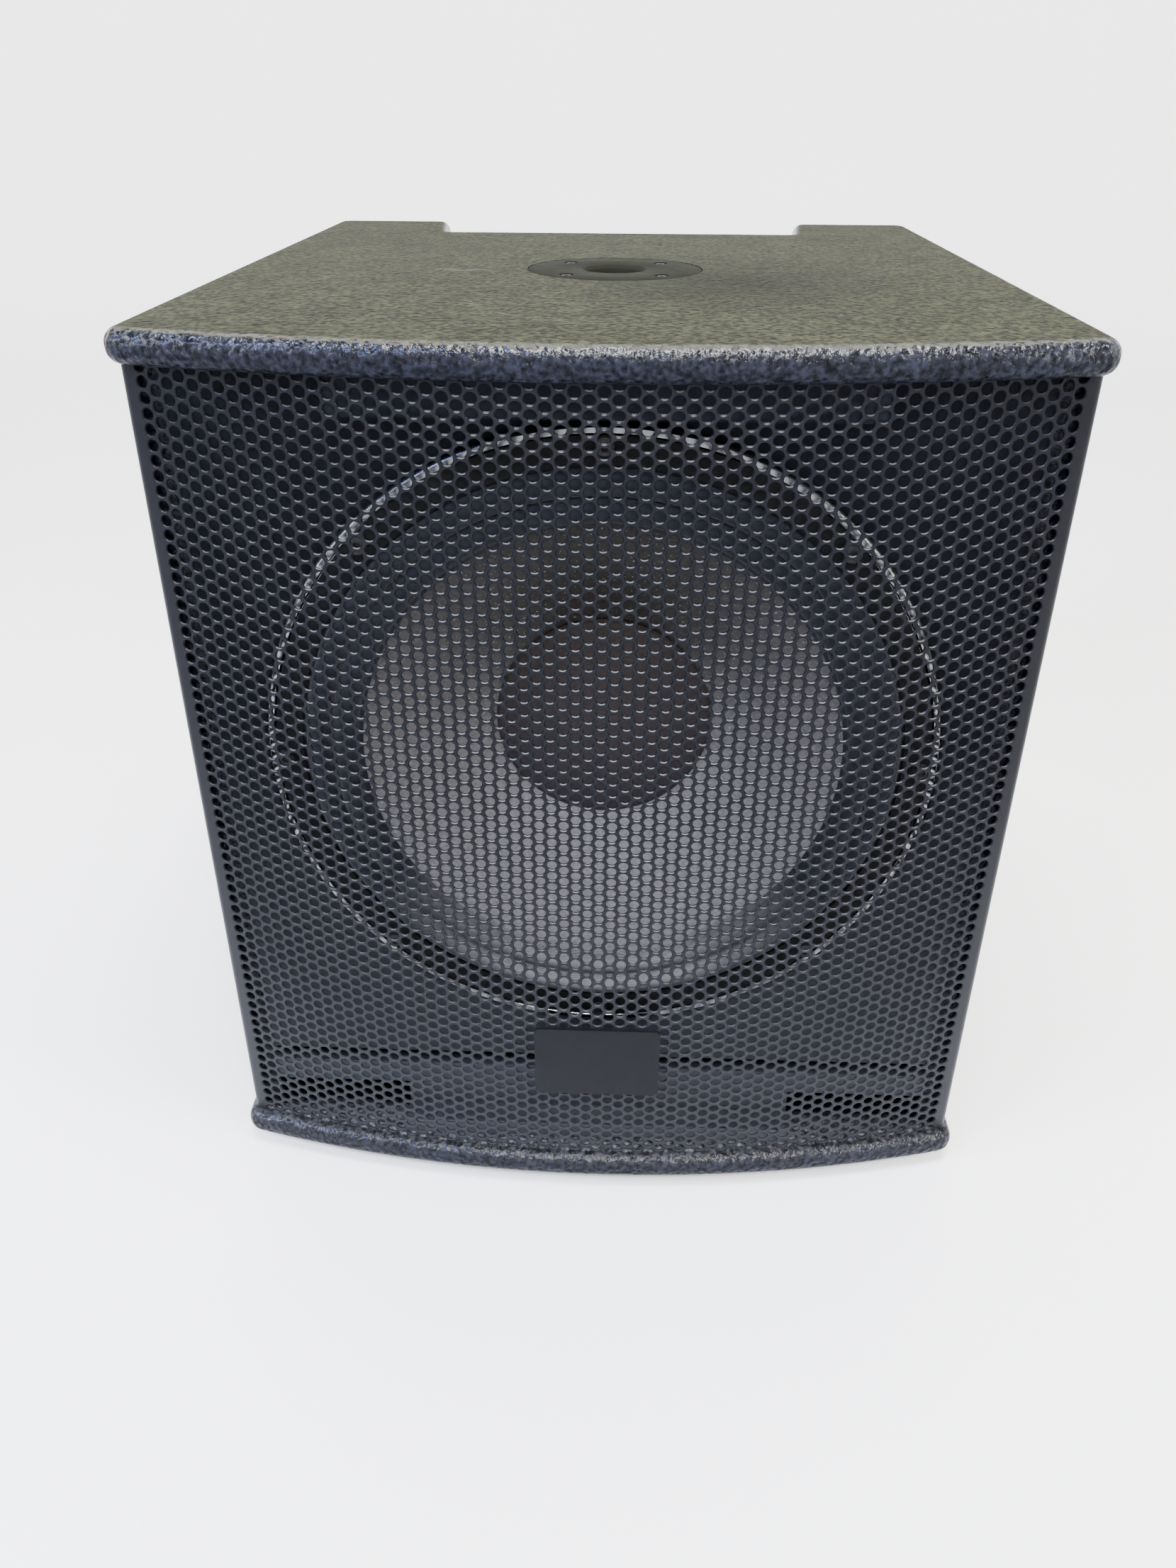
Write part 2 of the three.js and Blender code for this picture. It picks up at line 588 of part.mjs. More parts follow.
add('top_panel', topPanel(), paint);
add('bottom_panel', closed(panel(FOOT_HEIGHT)), paint);
for (const [word, side] of sides) {
  add(`side_panel_${word}`, sidePanel(side), paint);
  add(`recess_cheek_${word}`, closed(recessCheek(side)), paint);
  add(`rear_panel_${word}`, closed(rearPanel(side)), paint);
}
add('recess_back_panel', recessBack(), paint);
add('baffle', baffle(), darkWood);
const shelf = block([-INNER_HALF, INNER_HALF], [BAFFLE_FRONT, PORT_END], [SHELF_LOW, SHELF_TOP]);
add('port_shelf', shelf, darkWood);
const underShelf = [BOARD_LOW, SHELF_LOW - GAP];
add('port_centre_block', block([-PORT_INNER, PORT_INNER], [BAFFLE_FRONT, BAFFLE_BACK], underShelf), darkWood);
for (const [word, side] of sides) {
  const divider = block([PORT_INNER - BOARD, PORT_INNER], [BAFFLE_BACK + GAP, PORT_END], underShelf);
  add(`port_divider_${word}`, mirrored(divider, side), bareWood);
}
const battenDepths = [-19.8, BAFFLE_FRONT - GAP];
const upperBattenHalf = 138;
const lowerBattenTop = 38;
const upperBattenLow = CEILING - 20;
const lowerBatten = block([-PORT_INNER, PORT_INNER], battenDepths, [BOARD_LOW, lowerBattenTop]);
const upperBatten = block([-upperBattenHalf, upperBattenHalf], battenDepths, [upperBattenLow, BOARD_HIGH]);
add('lower_grille_batten', lowerBatten, darkWood);
add('upper_grille_batten', upperBatten, darkWood);
add('window_brace', windowBrace(), bareWood);

add('grille', closed(grille()), grilleSteel);
const badgeHalf = 40;
const badgeThickness = 3;
const badgeHeights = [82.5, 136.5];
const badge = block([-badgeHalf, badgeHalf], [-BOW - GAP - badgeThickness, -BOW - GAP], badgeHeights);
add('badge_plate', badge, blackPlastic);

add('driver_basket', basket(), basketMetal);
add('front_gasket', frontGasket(), rubber);
add('surround', closed(surround()), cloth);
add('cone', closed(cone()), conePaper);
add('dust_cap', closed(dustCap()), capPaper);
add('spider', closed(spider()), cloth);
add('coil_former', ring([50.2, 51.2], [60, 131]), blackPlastic);
add('voice_coil', ring([51.5, 53], [104, 131]), copper);
add('magnet_top_plate', ring([54.8, 95], [112.3, 122.4]), zincSteel);
add('magnet', ring([62, 110], [122.7, 147.7]), ferrite);
add('pole_and_back_plate', closed(turnedAboutDriver([
  [14, 113], [48.4, 113], [48.4, 148], [105, 148], [105, 160], [14, 160],
], 32)), zincSteel);
const terminal = block([-12, 12], [92, 108], [DRIVER_HEIGHT - 118, DRIVER_HEIGHT - 104.5]);
add('driver_terminal', terminal, blackPlastic);
boltPlaces().forEach(([x, z], i) => add(`driver_bolt_${i + 1}`, driverBolt(), blackSteel, x, FACE, z));

add('pole_socket', poleSocket(), socketPlastic, 0, SOCKET_Y, 0);
socketScrewPlaces().forEach(([x, y], i) => {
  add(`pole_socket_screw_${i + 1}`, socketScrew(), blackSteel, x, y, 0);
});

add('connector_plate', connectorPlate(), blackSteel);
for (const [word, side] of sides) {
  const socketX = (side * CONNECTOR_SPACING) / 2;
  add(`speaker_socket_${word}`, speakerSocket(), blackPlastic, socketX, FACE, CONNECTOR_HEIGHT);
  add(`side_handle_${word}`, sideHandle(side), blackPlastic);
  for (const [end, depth] of Object.entries(FOOT_DEPTHS)) {
    add(`rubber_foot_${end}_${word}`, rubberFoot(), rubber, side * FOOT_SPREAD, FACE + depth, 0);
  }
}

const filterBoard = block([-75, 75], [FILTER_DEPTH - 34, FILTER_DEPTH + 40], [BOARD_LOW, FILTER_TOP]);
add('filter_board', filterBoard, boardGreen);
add('filter_inductor', closed(inductor()), copper);
add('filter_capacitor', closed(capacitor()), blackPlastic);
add('driver_lead_red', closed(driverLead(14)), redWire);
add('driver_lead_black', closed(driverLead(-14)), rubber);
for (const [word, side] of sides) {
  add(`damping_pad_${word}`, mirrored(block([40, 215], [200, 425], [508, BOARD_HIGH - GAP]), side), felt);
}

export default cabinet;
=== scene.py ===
import math

import bmesh
import bpy
from mathutils import Matrix, Vector, noise


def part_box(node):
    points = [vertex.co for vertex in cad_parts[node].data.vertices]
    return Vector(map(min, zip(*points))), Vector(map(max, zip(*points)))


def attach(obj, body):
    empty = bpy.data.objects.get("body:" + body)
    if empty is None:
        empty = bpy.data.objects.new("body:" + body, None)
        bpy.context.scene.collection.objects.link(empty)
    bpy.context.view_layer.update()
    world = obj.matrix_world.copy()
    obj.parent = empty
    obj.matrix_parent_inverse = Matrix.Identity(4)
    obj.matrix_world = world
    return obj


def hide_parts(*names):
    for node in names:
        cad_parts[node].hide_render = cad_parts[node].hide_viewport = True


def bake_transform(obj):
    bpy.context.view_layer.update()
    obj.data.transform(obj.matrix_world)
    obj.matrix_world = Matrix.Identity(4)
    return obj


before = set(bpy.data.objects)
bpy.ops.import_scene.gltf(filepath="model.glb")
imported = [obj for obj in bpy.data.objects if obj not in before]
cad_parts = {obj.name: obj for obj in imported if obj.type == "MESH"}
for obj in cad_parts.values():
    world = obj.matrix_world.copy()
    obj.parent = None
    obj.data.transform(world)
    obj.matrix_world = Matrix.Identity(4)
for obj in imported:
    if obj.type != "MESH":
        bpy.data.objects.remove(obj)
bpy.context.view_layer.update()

# Lengths below are in millimetres and become metres in metres(). Depths count from the grille's side
# edges towards the back, as "depth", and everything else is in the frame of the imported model.
MM = 0.001


def low(node, axis):
    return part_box(node)[0][axis] / MM


def high(node, axis):
    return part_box(node)[1][axis] / MM


def centre_of(node, axis):
    return (low(node, axis) + high(node, axis)) / 2


X, Y, Z = 0, 1, 2
GRILLE_FLANGE = 24
FACE = high("grille", Y) - GRILLE_FLANGE        # where the grille's bow begins, at its side edges
BOW = FACE - low("grille", Y)
PANEL_HALF = high("top_panel", X)
PANEL_FRONT = low("top_panel", Y)
PANEL_BACK = high("top_panel", Y)
TOP = high("top_panel", Z)
EDGE_ROUND = 8
CORNER_ROUND = 12
EAR_ROUND = 10
NOTCH_ROUND = 3
NOTCH_DEPTH = 87
NOTCH_HALF_FRONT = 139
NOTCH_HALF_BACK = 150
DRIVER_HEIGHT = centre_of("driver_basket", Z)
SOCKET_Y = centre_of("pole_socket", Y)
BOLT_CIRCLE = 183
SOCKET_SCREW_CIRCLE = 42.5
SOCKET_SLEEVE = 24                              # outer radius of the pole socket below its flange
SOCKET_BORE = 18.5                              # radius, for a 36 mm pole


def metres(x, y, z):
    return Vector((x * MM, y * MM, z * MM))


def about_driver(r, depth, angle):
    return metres(r * math.cos(angle), FACE + depth, DRIVER_HEIGHT + r * math.sin(angle))


# ---- Mesh helpers ------------------------------------------------------------

def tidy_mesh(mesh, sharp):
    """Merges shared points, turns the faces outwards and smooths all but the sharp edges."""
    bm = bmesh.new()
    bm.from_mesh(mesh)
    bmesh.ops.remove_doubles(bm, verts=bm.verts, dist=2e-6)
    bmesh.ops.recalc_face_normals(bm, faces=bm.faces)
    bm.to_mesh(mesh)
    bm.free()
    mesh.polygons.foreach_set("use_smooth", [True] * len(mesh.polygons))
    mesh.set_sharp_from_angle(angle=math.radians(sharp))


def new_object(name, points, faces, sharp=35):
    mesh = bpy.data.meshes.new(name)
    mesh.from_pydata([tuple(p) for p in points], [], faces)
    tidy_mesh(mesh, sharp)
    obj = bpy.data.objects.new(name, mesh)
    bpy.context.scene.collection.objects.link(obj)
    return obj


def apply_modifiers(obj, sharp=35):
    bpy.context.view_layer.update()
    evaluated = obj.evaluated_get(bpy.context.evaluated_depsgraph_get())
    mesh = bpy.data.meshes.new_from_object(evaluated)
    obj.modifiers.clear()
    obj.data = mesh
    tidy_mesh(mesh, sharp)
    return obj


def thicken(obj, thickness, offset=0, sharp=35):
    step = obj.modifiers.new("thickness", "SOLIDIFY")
    step.thickness = thickness * MM
    step.offset = offset
    return apply_modifiers(obj, sharp)


def cut_away(obj, *cutters):
    for cutter in cutters:
        step = obj.modifiers.new("cut", "BOOLEAN")
        step.operation = "DIFFERENCE"
        step.solver = "EXACT"
        step.object = cutter
    apply_modifiers(obj)
    for cutter in cutters:
        bpy.data.objects.remove(cutter)
    return obj


def finish_piece(obj, slot, look, *nodes, body="cabinet"):
    obj.data.materials.clear()
    obj.data.materials.append(look)
    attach(obj, body)
    if nodes:
        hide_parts(*nodes)
    return obj


def end_to_end(rows):
    return [point for row in rows for point in row]


def strips(rows, closed_rows=True, closed_columns=False):
    """Quads between neighbouring rows of points, as indices into the rows laid end to end."""
    count = len(rows[0])
    faces = []
    for i in range(len(rows) if closed_columns else len(rows) - 1):
        for k in range(count if closed_rows else count - 1):
            here, there = i * count, (i + 1) % len(rows) * count
            after = (k + 1) % count
            faces.append((here + k, here + after, there + after, there + k))
    return faces


def turned(name, profile, place, segments=96, sharp=35):
    """A turned solid from a closed profile of (r, along); place(r, along, angle) puts a point."""
    rows = []
    for r, along in profile:
        rows.append([place(r, along, 2 * math.pi * k / segments) for k in range(segments)])
    faces = strips(rows, closed_columns=profile[0][0] > 0)
    return new_object(name, end_to_end(rows), faces, sharp)


def rod(radius, start, end):
    """The profile of a rod between two places on its axis."""
    return [(0, start), (radius, start), (radius, end), (0, end)]


def upright(x, y):
    return lambda r, z, angle: metres(x + r * math.cos(angle), y + r * math.sin(angle), z)


def along_y(x, z):
    return lambda r, depth, angle: metres(x + r * math.cos(angle), FACE + depth, z + r * math.sin(angle))


def rounded(corners, steps=8):
    """A polygon with its corners rounded; each corner is (x, y, radius)."""
    outline = []
    for i, (x, y, radius) in enumerate(corners):
        here = Vector((x, y))
        if not radius:
            outline.append(here)
            continue
        before = (Vector(corners[i - 1][:2]) - here).normalized()
        after = (Vector(corners[(i + 1) % len(corners)][:2]) - here).normalized()
        half = before.angle(after) / 2
        setback = radius / math.tan(half)
        middle = here + (before + after).normalized() * radius / math.sin(half)
        start = here + before * setback - middle
        end = here + after * setback - middle
        sweep = start.angle_signed(end)
        for step in range(steps + 1):
            turn = -sweep * step / steps
            outline.append(middle + Matrix.Rotation(turn, 2) @ start)
    return outline


def inset(outline, distance):
    """The outline moved inwards; its points go anticlockwise."""
    moved = []
    for i, here in enumerate(outline):
        tangent = (outline[(i + 1) % len(outline)] - outline[i - 1]).normalized()
        moved.append(here + Vector((-tangent.y, tangent.x)) * distance)
    return moved


def slab(name, outline, place, thickness, edge, steps=6, sharp=35):
    """A plate over an outline, with edges rounded on both faces; place(x, y, along) puts a point."""
    rounds = []
    for step in range(steps + 1):
        angle = math.pi / 2 * step / steps
        rounds.append((edge * (1 - math.sin(angle)), edge * (1 - math.cos(angle))))
    levels = rounds + [(gap, thickness - along) for gap, along in reversed(rounds)]
    rows = [[place(p.x, p.y, along) for p in inset(outline, gap)] for gap, along in levels]
    faces = strips(rows)
    count = len(outline)
    faces.append(tuple(reversed(range(count))))
    faces.append(tuple(range((len(rows) - 1) * count, len(rows) * count)))
    return new_object(name, end_to_end(rows), faces, sharp)


def smooth_through(points, steps):
    """A smooth curve through (r, depth) points."""
    ends = [points[0], *points, points[-1]]
    curve = []
    for i in range(1, len(ends) - 2):
        a, b, c, d = (Vector(ends[i + k]) for k in (-1, 0, 1, 2))
        for step in range(steps):
            t = step / steps
            curve.append(tuple(0.5 * (2 * b + (c - a) * t + (2 * a - 5 * b + 4 * c - d) * t ** 2
                                      + (3 * b - a - 3 * c + d) * t ** 3)))
    return [*curve, tuple(points[-1])]


def bow_radius(half):
    """Radius of the arc that curves forward by BOW over a half width."""
    return (half * half + BOW * BOW) / (2 * BOW)


def bowed(x, half, chord):
    radius = bow_radius(half)
    return chord - (math.sqrt(radius * radius - x * x) - (radius - BOW))


# ---- Materials ---------------------------------------------------------------

class Look:
    """A procedural material under construction, with its nodes and links."""

    def __init__(self, name, roughness, metallic=0.0):
        self.material = bpy.data.materials.new(name)
        self.material.use_nodes = True
        self.nodes = self.material.node_tree.nodes
        self.shader = self.nodes["Principled BSDF"]
        self.shader.inputs["Roughness"].default_value = roughness
        self.shader.inputs["Metallic"].default_value = metallic
        self.place = self.nodes.new("ShaderNodeTexCoord").outputs["Object"]
        self.normal = None

    def link(self, source, target):
        self.material.node_tree.links.new(source, target)

    def fix(self, name, value):
        self.shader.inputs[name].default_value = value

    def spread(self, value, start, end, least=0.0, most=1.0):
        """A value from one range in another, held at its ends."""
        node = self.nodes.new("ShaderNodeMapRange")
        limits = {"From Min": start, "From Max": end, "To Min": least, "To Max": most}
        for name, limit in limits.items():
            node.inputs[name].default_value = limit
        self.link(value, node.inputs["Value"])
        return node.outputs["Result"]

    def product(self, a, b):
        return self.combine("MULTIPLY", a, b)

    def stretched(self, scale):
        mapping = self.nodes.new("ShaderNodeMapping")
        mapping.inputs["Scale"].default_value = scale
        self.link(self.place, mapping.inputs["Vector"])
        return mapping.outputs["Vector"]

    def noise(self, size_mm, detail=3.0, stretch=(1, 1, 1)):
        texture = self.nodes.new("ShaderNodeTexNoise")
        texture.inputs["Scale"].default_value = 1 / (size_mm * MM)
        texture.inputs["Detail"].default_value = detail
        self.link(self.stretched(stretch), texture.inputs["Vector"])
        return texture.outputs["Fac"]

    def cells(self, size_mm):
        texture = self.nodes.new("ShaderNodeTexVoronoi")
        texture.feature = "SMOOTH_F1"
        texture.inputs["Scale"].default_value = 1 / (size_mm * MM)
        self.link(self.place, texture.inputs["Vector"])
        return texture.outputs["Distance"]

    def bands(self, size_mm, direction, distortion=0.0):
        texture = self.nodes.new("ShaderNodeTexWave")
        texture.bands_direction = direction
        texture.inputs["Scale"].default_value = 0.314 / (size_mm * MM)
        texture.inputs["Distortion"].default_value = distortion
        self.link(self.place, texture.inputs["Vector"])
        return texture.outputs["Fac"]

    def combine(self, operation, *values):
        sums = self.nodes.new("ShaderNodeMath")
        sums.operation = operation
        for socket, value in zip(sums.inputs, values):
            if isinstance(value, (int, float)):
                socket.default_value = value
            else:
                self.link(value, socket)
        return sums.outputs[0]

    def ramp(self, factor, stops):
        node = self.nodes.new("ShaderNodeValToRGB")
        elements = node.color_ramp.elements
        for element, (position, color) in zip(elements, (stops[0], stops[-1])):
            element.position = position
            element.color = (*color, 1)
        for position, color in stops[1:-1]:
            elements.new(position).color = (*color, 1)
        self.link(factor, node.inputs["Fac"])
        return node.outputs["Color"]

    def mix(self, factor, a, b):
        node = self.nodes.new("ShaderNodeMix")
        node.data_type = "RGBA"
        self.link(factor, node.inputs["Factor"])
        for socket, value in ((node.inputs[6], a), (node.inputs[7], b)):
            if isinstance(value, tuple):
                socket.default_value = (*value, 1)
            else:
                self.link(value, socket)
        return node.outputs[2]

    def multiply(self, a, b):
        node = self.nodes.new("ShaderNodeVectorMath")
        node.operation = "MULTIPLY"
        self.link(a, node.inputs[0])
        self.link(b, node.inputs[1])
        return node.outputs[0]

    def facing(self, direction, start, end):
        """From 0 to 1 as the share of the surface's normal along a direction goes from start to end."""
        share = self.nodes.new("ShaderNodeVectorMath")
        share.operation = "DOT_PRODUCT"
        self.link(self.nodes.new("ShaderNodeNewGeometry").outputs["Normal"], share.inputs[0])
        share.inputs[1].default_value = direction
        return self.spread(share.outputs["Value"], start, end)

    def facing_up(self, start=0.78, end=0.995):
        return self.facing((0, 0, 1), start, end)

    def away_from(self, centre, near, far, most=1.0):
        """From 0 to most as the level distance from an upright axis goes from near to far, in metres."""
        mapping = self.nodes.new("ShaderNodeMapping")
        mapping.inputs["Location"].default_value = (-centre[0], -centre[1], 0)
        mapping.inputs["Scale"].default_value = (1, 1, 0)
        self.link(self.place, mapping.inputs["Vector"])
        length = self.nodes.new("ShaderNodeVectorMath")
        length.operation = "LENGTH"
        self.link(mapping.outputs["Vector"], length.inputs[0])
        return self.spread(length.outputs["Value"], near, far, 0.0, most)

    def patch(self, centre, radii, turn=0):
        """From 1 at a centre to 0 at an ellipsoid round it, in millimetres and turned by degrees."""
        mapping = self.nodes.new("ShaderNodeMapping")
        mapping.vector_type = "TEXTURE"
        mapping.inputs["Location"].default_value = metres(*centre)
        mapping.inputs["Rotation"].default_value = (0, 0, math.radians(turn))
        mapping.inputs["Scale"].default_value = metres(*radii)
        self.link(self.place, mapping.inputs["Vector"])
        ball = self.nodes.new("ShaderNodeTexGradient")
        ball.gradient_type = "SPHERICAL"
        self.link(mapping.outputs["Vector"], ball.inputs["Vector"])
        return ball.outputs["Fac"]

    def high_up(self):
        """From 0 near the foot of the cabinet's front to 1 near its top; lower down is lighter with dust
        and painted light.
        """
        return self.combine("MULTIPLY_ADD", self.patch((0, FACE, 480), (700, 700, 430)), 2.0, -0.1)

    def near_front(self):
        """From 1 in front of the baffle to 0 a little behind it, where painted shade turns the ports near
        black.
        """
        reach = low("baffle", Y) + 12 - (FACE - BOW)
        return self.product(self.patch((0, FACE - BOW, 0), (9000, reach, 9000)), 2.5)

    def color(self, source):
        self.link(source, self.shader.inputs["Base Color"])

    def roughness(self, factor, least, most):
        self.link(self.spread(factor, 0.0, 1.0, least, most), self.shader.inputs["Roughness"])

    def bump(self, height, depth_mm, strength=1.0):
        node = self.nodes.new("ShaderNodeBump")
        node.inputs["Strength"].default_value = strength
        node.inputs["Distance"].default_value = depth_mm * MM
        self.link(height, node.inputs["Height"])
        if self.normal:
            self.link(self.normal, node.inputs["Normal"])
        self.normal = node.outputs["Normal"]
        self.link(self.normal, self.shader.inputs["Normal"])


def shade(color, factor):
    return tuple(min(1.0, c * factor) for c in color)


def varied(look, color, spread, size_mm, detail=3.0):
    """Base colour that drifts by a share of itself over patches of a size."""
    factor = look.noise(size_mm, detail)
    return look.ramp(factor, [(0.3, shade(color, 1 - spread)), (0.7, shade(color, 1 + spread))])


def textured_paint(name, dust_and_light_on_top, light_and_dust_behind_grille=None):
    """Sprayed paint with an orange-peel grain: glossy on the edges, lighter and duller where it faces up,
    which is dust with painted light from above. A second colour, painted light with dust, is for what
    lies behind the grille."""
    look = Look(name, 0.5)
    peel = look.noise(3.0, 3.5)
    up = look.facing_up()
    fresh = varied(look, (0.0052, 0.0058, 0.0092), 0.16, 34)
    # Painted shadow: a darker patch on the top panel, to the right of the pole socket and in front of it.
    painted_shadow = look.patch((75, SOCKET_Y - 60, TOP), (120, 130, 60))
    painted_light = look.mix(painted_shadow, varied(look, dust_and_light_on_top, 0.16, 30), shade(dust_and_light_on_top, 0.4))
    # Behind the grille the much lighter colour is painted light from above through the grille, with dust.
    if light_and_dust_behind_grille:
        # Painted shade: near black behind the baffle.
        behind = look.mix(look.near_front(), PAINTED_SHADE_BLACK, light_and_dust_behind_grille)
        painted_light = look.mix(past_grille(look), behind, painted_light)
    # Darker in the peel's hollows and lighter on its crests: the peel's shade and highlights painted into
    # the colour.
    grain = look.ramp(peel, [(0.36, (0.3, 0.3, 0.3)), (0.5, (1, 1, 1)), (0.64, (2.2, 2.2, 2.1))])
    # Lighter and duller where it faces up: dust, with painted light from above.
    painted = look.multiply(look.mix(up, fresh, painted_light), grain)
    look.color(look.mix(scuff_mask(look), painted, (0.11, 0.1, 0.08)))
    look.fix("Specular IOR Level", 0.035)
    shine = look.combine("ADD", look.product(peel, 0.3), look.product(up, 0.7))
    look.roughness(shine, 0.2, 0.85)
    look.bump(look.cells(3.4), 1.1, 1.0)
    look.bump(peel, 0.9, 1.0)
    look.fix("Coat Roughness", 0.14)
    gloss = look.combine("MULTIPLY_ADD", up, -0.22, 0.22)
    edge_gloss = 0.18 if light_and_dust_behind_grille else 0.5
    gloss = look.combine("MULTIPLY_ADD", look.facing(LIP_NORMAL, 0.86, 0.98), edge_gloss, gloss)
    lacquer = look.product(gloss, look.facing_up(-0.2, 0.4))
    look.link(lacquer, look.shader.inputs["Coat Weight"])
    look.link(look.normal, look.shader.inputs["Coat Normal"])
    return look.material


def past_grille(look):
    """From 0 behind the grille's bow to 1 in front of it."""
    radius = bow_radius(high("grille", X)) * MM
    centre = (0, FACE * MM + radius - BOW * MM)
    return look.away_from(centre, radius - 2 * MM, radius)


def scuff_mask(look):
    """Faint scuff marks on the top panel, to the left of the pole socket."""
    ball = look.patch((-96, SOCKET_Y - 14, TOP), (24, 8, 8), -14)
    streaks = look.combine("GREATER_THAN", look.noise(3.2, 5, (0.35, 1, 1)), 0.53)
    return look.product(ball, streaks)


def inner_paint(name, color, light_and_dust=None):
    """Flat paint behind the grille, lighter low down with dust and painted light, and painted shade, near
    black, behind the baffle.
    """
    look = Look(name, 0.7)
    look.fix("Specular IOR Level", 0.05)
    # Lighter low down: dust, with painted light where more light reaches in.
    paint = look.mix(look.high_up(), light_and_dust or color, varied(look, color, 0.2, 25))
    # Painted shade: near black behind the baffle.
    look.color(look.mix(look.near_front(), PAINTED_SHADE_BLACK, paint))
    look.roughness(look.noise(9), 0.5, 0.8)
    look.bump(look.noise(1.6, 4), 0.12, 0.6)
    return look.material


def plywood():
    look = Look("bare_plywood", 0.75)
    grain = look.noise(5, 6, (1, 0.06, 1))
    plies = look.bands(2.8, "Z")
    face = look.ramp(grain, [(0.3, (0.42, 0.27, 0.13)), (0.7, (0.62, 0.45, 0.26))])
    look.color(look.mix(look.product(plies, 0.25), face, (0.2, 0.11, 0.05)))
    look.roughness(grain, 0.6, 0.85)
    look.bump(grain, 0.1)
    return look.material


def powder_coat(name, color, roughness=0.42, gloss=0.12, lip_highlight=None):
    """Powder paint on steel. A lip highlight colour is a painted highlight on the lower lips of the
    holes, most so round the middle of the grille. Low down the web turns lighter, with dust and painted
    light."""
    look = Look(name, roughness)
    look.fix("Specular IOR Level", gloss)
    coat = varied(look, color, 0.12, 18)
    if lip_highlight:
        # Painted highlight on the holes' lower lips, strongest round the middle of the grille.
        middle = look.combine("MULTIPLY_ADD", look.patch((0, FACE, 380), (330, 330, 330)), 2.0, -0.25)
        painted_light = look.product(look.facing(LIP_NORMAL, 0.84, 0.95), middle)
        coat = look.mix(painted_light, look.mix(look.high_up(), DUST_AND_LIGHT_STEEL, coat), lip_highlight)
    look.color(coat)
    look.roughness(look.noise(4), roughness - 0.07, roughness + 0.12)
    look.bump(look.noise(0.5, 2), 0.03, 0.4)
    return look.material


def moulding(name, color, grain_mm, roughness=0.45, gloss=0.13):
    look = Look(name, roughness)
    look.fix("Specular IOR Level", gloss)
    look.color(varied(look, color, 0.12, 22))
    look.roughness(look.noise(7), roughness - 0.06, roughness + 0.12)
    look.bump(look.cells(grain_mm), 0.03, 0.7)
    return look.material


def turned_metal(name, color, roughness):
    """Machined metal, a little uneven in polish."""
    look = Look(name, roughness, 1.0)
    look.color(varied(look, color, 0.06, 12))
    look.roughness(look.noise(1.5, 4), roughness - 0.08, roughness + 0.12)
    look.bump(look.noise(0.7, 2), 0.0003, 0.5)
    return look.material


def cloth(name, color, thread_mm, light_and_dust=None):
    """Woven cloth. A lighter colour is painted light where it faces up, below the driver's cone."""
    look = Look(name, 0.9)
    look.fix("Specular IOR Level", 0.05)
    across = look.bands(thread_mm, "X", 0.6)
    up = look.bands(thread_mm, "Z", 0.6)
    weave = look.product(across, up)
    threads = look.ramp(weave, [(0.0, (0.6, 0.6, 0.6)), (0.7, (1.3, 1.3, 1.3))])
    # Painted light on the surround's lower, upward-facing part.
    below = look.product(look.patch((0, FACE, DRIVER_HEIGHT - 160), (170, 200, 120)), 1.5)
    dye_and_painted_light = look.mix(look.product(look.facing_up(-0.35, 0.5), below), color, light_and_dust or color)
    look.color(look.multiply(dye_and_painted_light, threads))
    look.fix("Sheen Weight", 0.12)
    look.roughness(look.noise(6), 0.75, 0.95)
    look.bump(weave, 0.12, 0.8)
    return look.material


def paper(name, shaded, light_and_dust, fibre_mm):
    """Paper pulp. Where it faces up, which is the lower half of a cone or a cap, a lighter colour is
    painted light.
    """
    look = Look(name, 0.85)
    look.fix("Specular IOR Level", 0.03)
    fibres = look.noise(fibre_mm, 8, (1, 1, 2.2))
    flecks = look.combine("GREATER_THAN", look.noise(1.3, 4), 0.68)
    pulp = look.ramp(fibres, [(0.3, (0.75, 0.75, 0.75)), (0.72, (1.3, 1.3, 1.3))])
    # Lit and shaded copies of the pulp: painted light where it faces up.
    color = look.multiply(look.mix(look.facing_up(-0.6, 0.62), shaded, light_and_dust), pulp)
    look.color(look.mix(flecks, color, shade(light_and_dust, 1.4)))
    look.roughness(look.noise(11), 0.7, 0.92)
    look.bump(fibres, 0.16, 0.8)
    return look.material


def rubber():
    look = Look("rubber", 0.75)
    look.fix("Specular IOR Level", 0.05)
    look.color(varied(look, (0.006, 0.006, 0.0065), 0.25, 8))
    look.roughness(look.noise(5), 0.6, 0.85)
    look.bump(look.noise(0.9, 4), 0.05)
    return look.material


def wadding():
    look = Look("felt", 0.95)
    tufts = look.noise(4.5, 9)
    look.color(look.ramp(tufts, [(0.3, (0.46, 0.44, 0.39)), (0.7, (0.8, 0.78, 0.72))]))
    look.fix("Sheen Weight", 0.5)
    look.bump(tufts, 0.8)
    return look.material


def winding():
    look = Look("copper", 0.35, 1.0)
    turns = look.bands(0.9, "Y")
    look.color(look.ramp(turns, [(0.1, (0.3, 0.11, 0.04)), (0.8, (0.75, 0.36, 0.17))]))
    look.bump(turns, 0.15)
    look.roughness(look.noise(3), 0.28, 0.45)
    return look.material

LIP_NORMAL = (0, -0.56, 0.83)                   # of the lowest part of a hole's lip
PAINTED_SHADE_BLACK = (0.0012, 0.0014, 0.002)                # painted shade: near black, in the ports
# the grille's web low down: lighter with dust and painted light
DUST_AND_LIGHT_STEEL = (0.0130, 0.0137, 0.0162)

PAINT = textured_paint("textured_paint", (0.0165, 0.0172, 0.0100))
# Its last colour is painted light with dust, on the floor behind the grille.
LOWER_PAINT = textured_paint("lower_paint", (0.0115, 0.0118, 0.0132), (0.10, 0.102, 0.115))
# Its second colour is lighter low down: dust with painted light.
INNER = inner_paint("inner_paint", (0.0065, 0.0075, 0.011), (0.034, 0.037, 0.045))
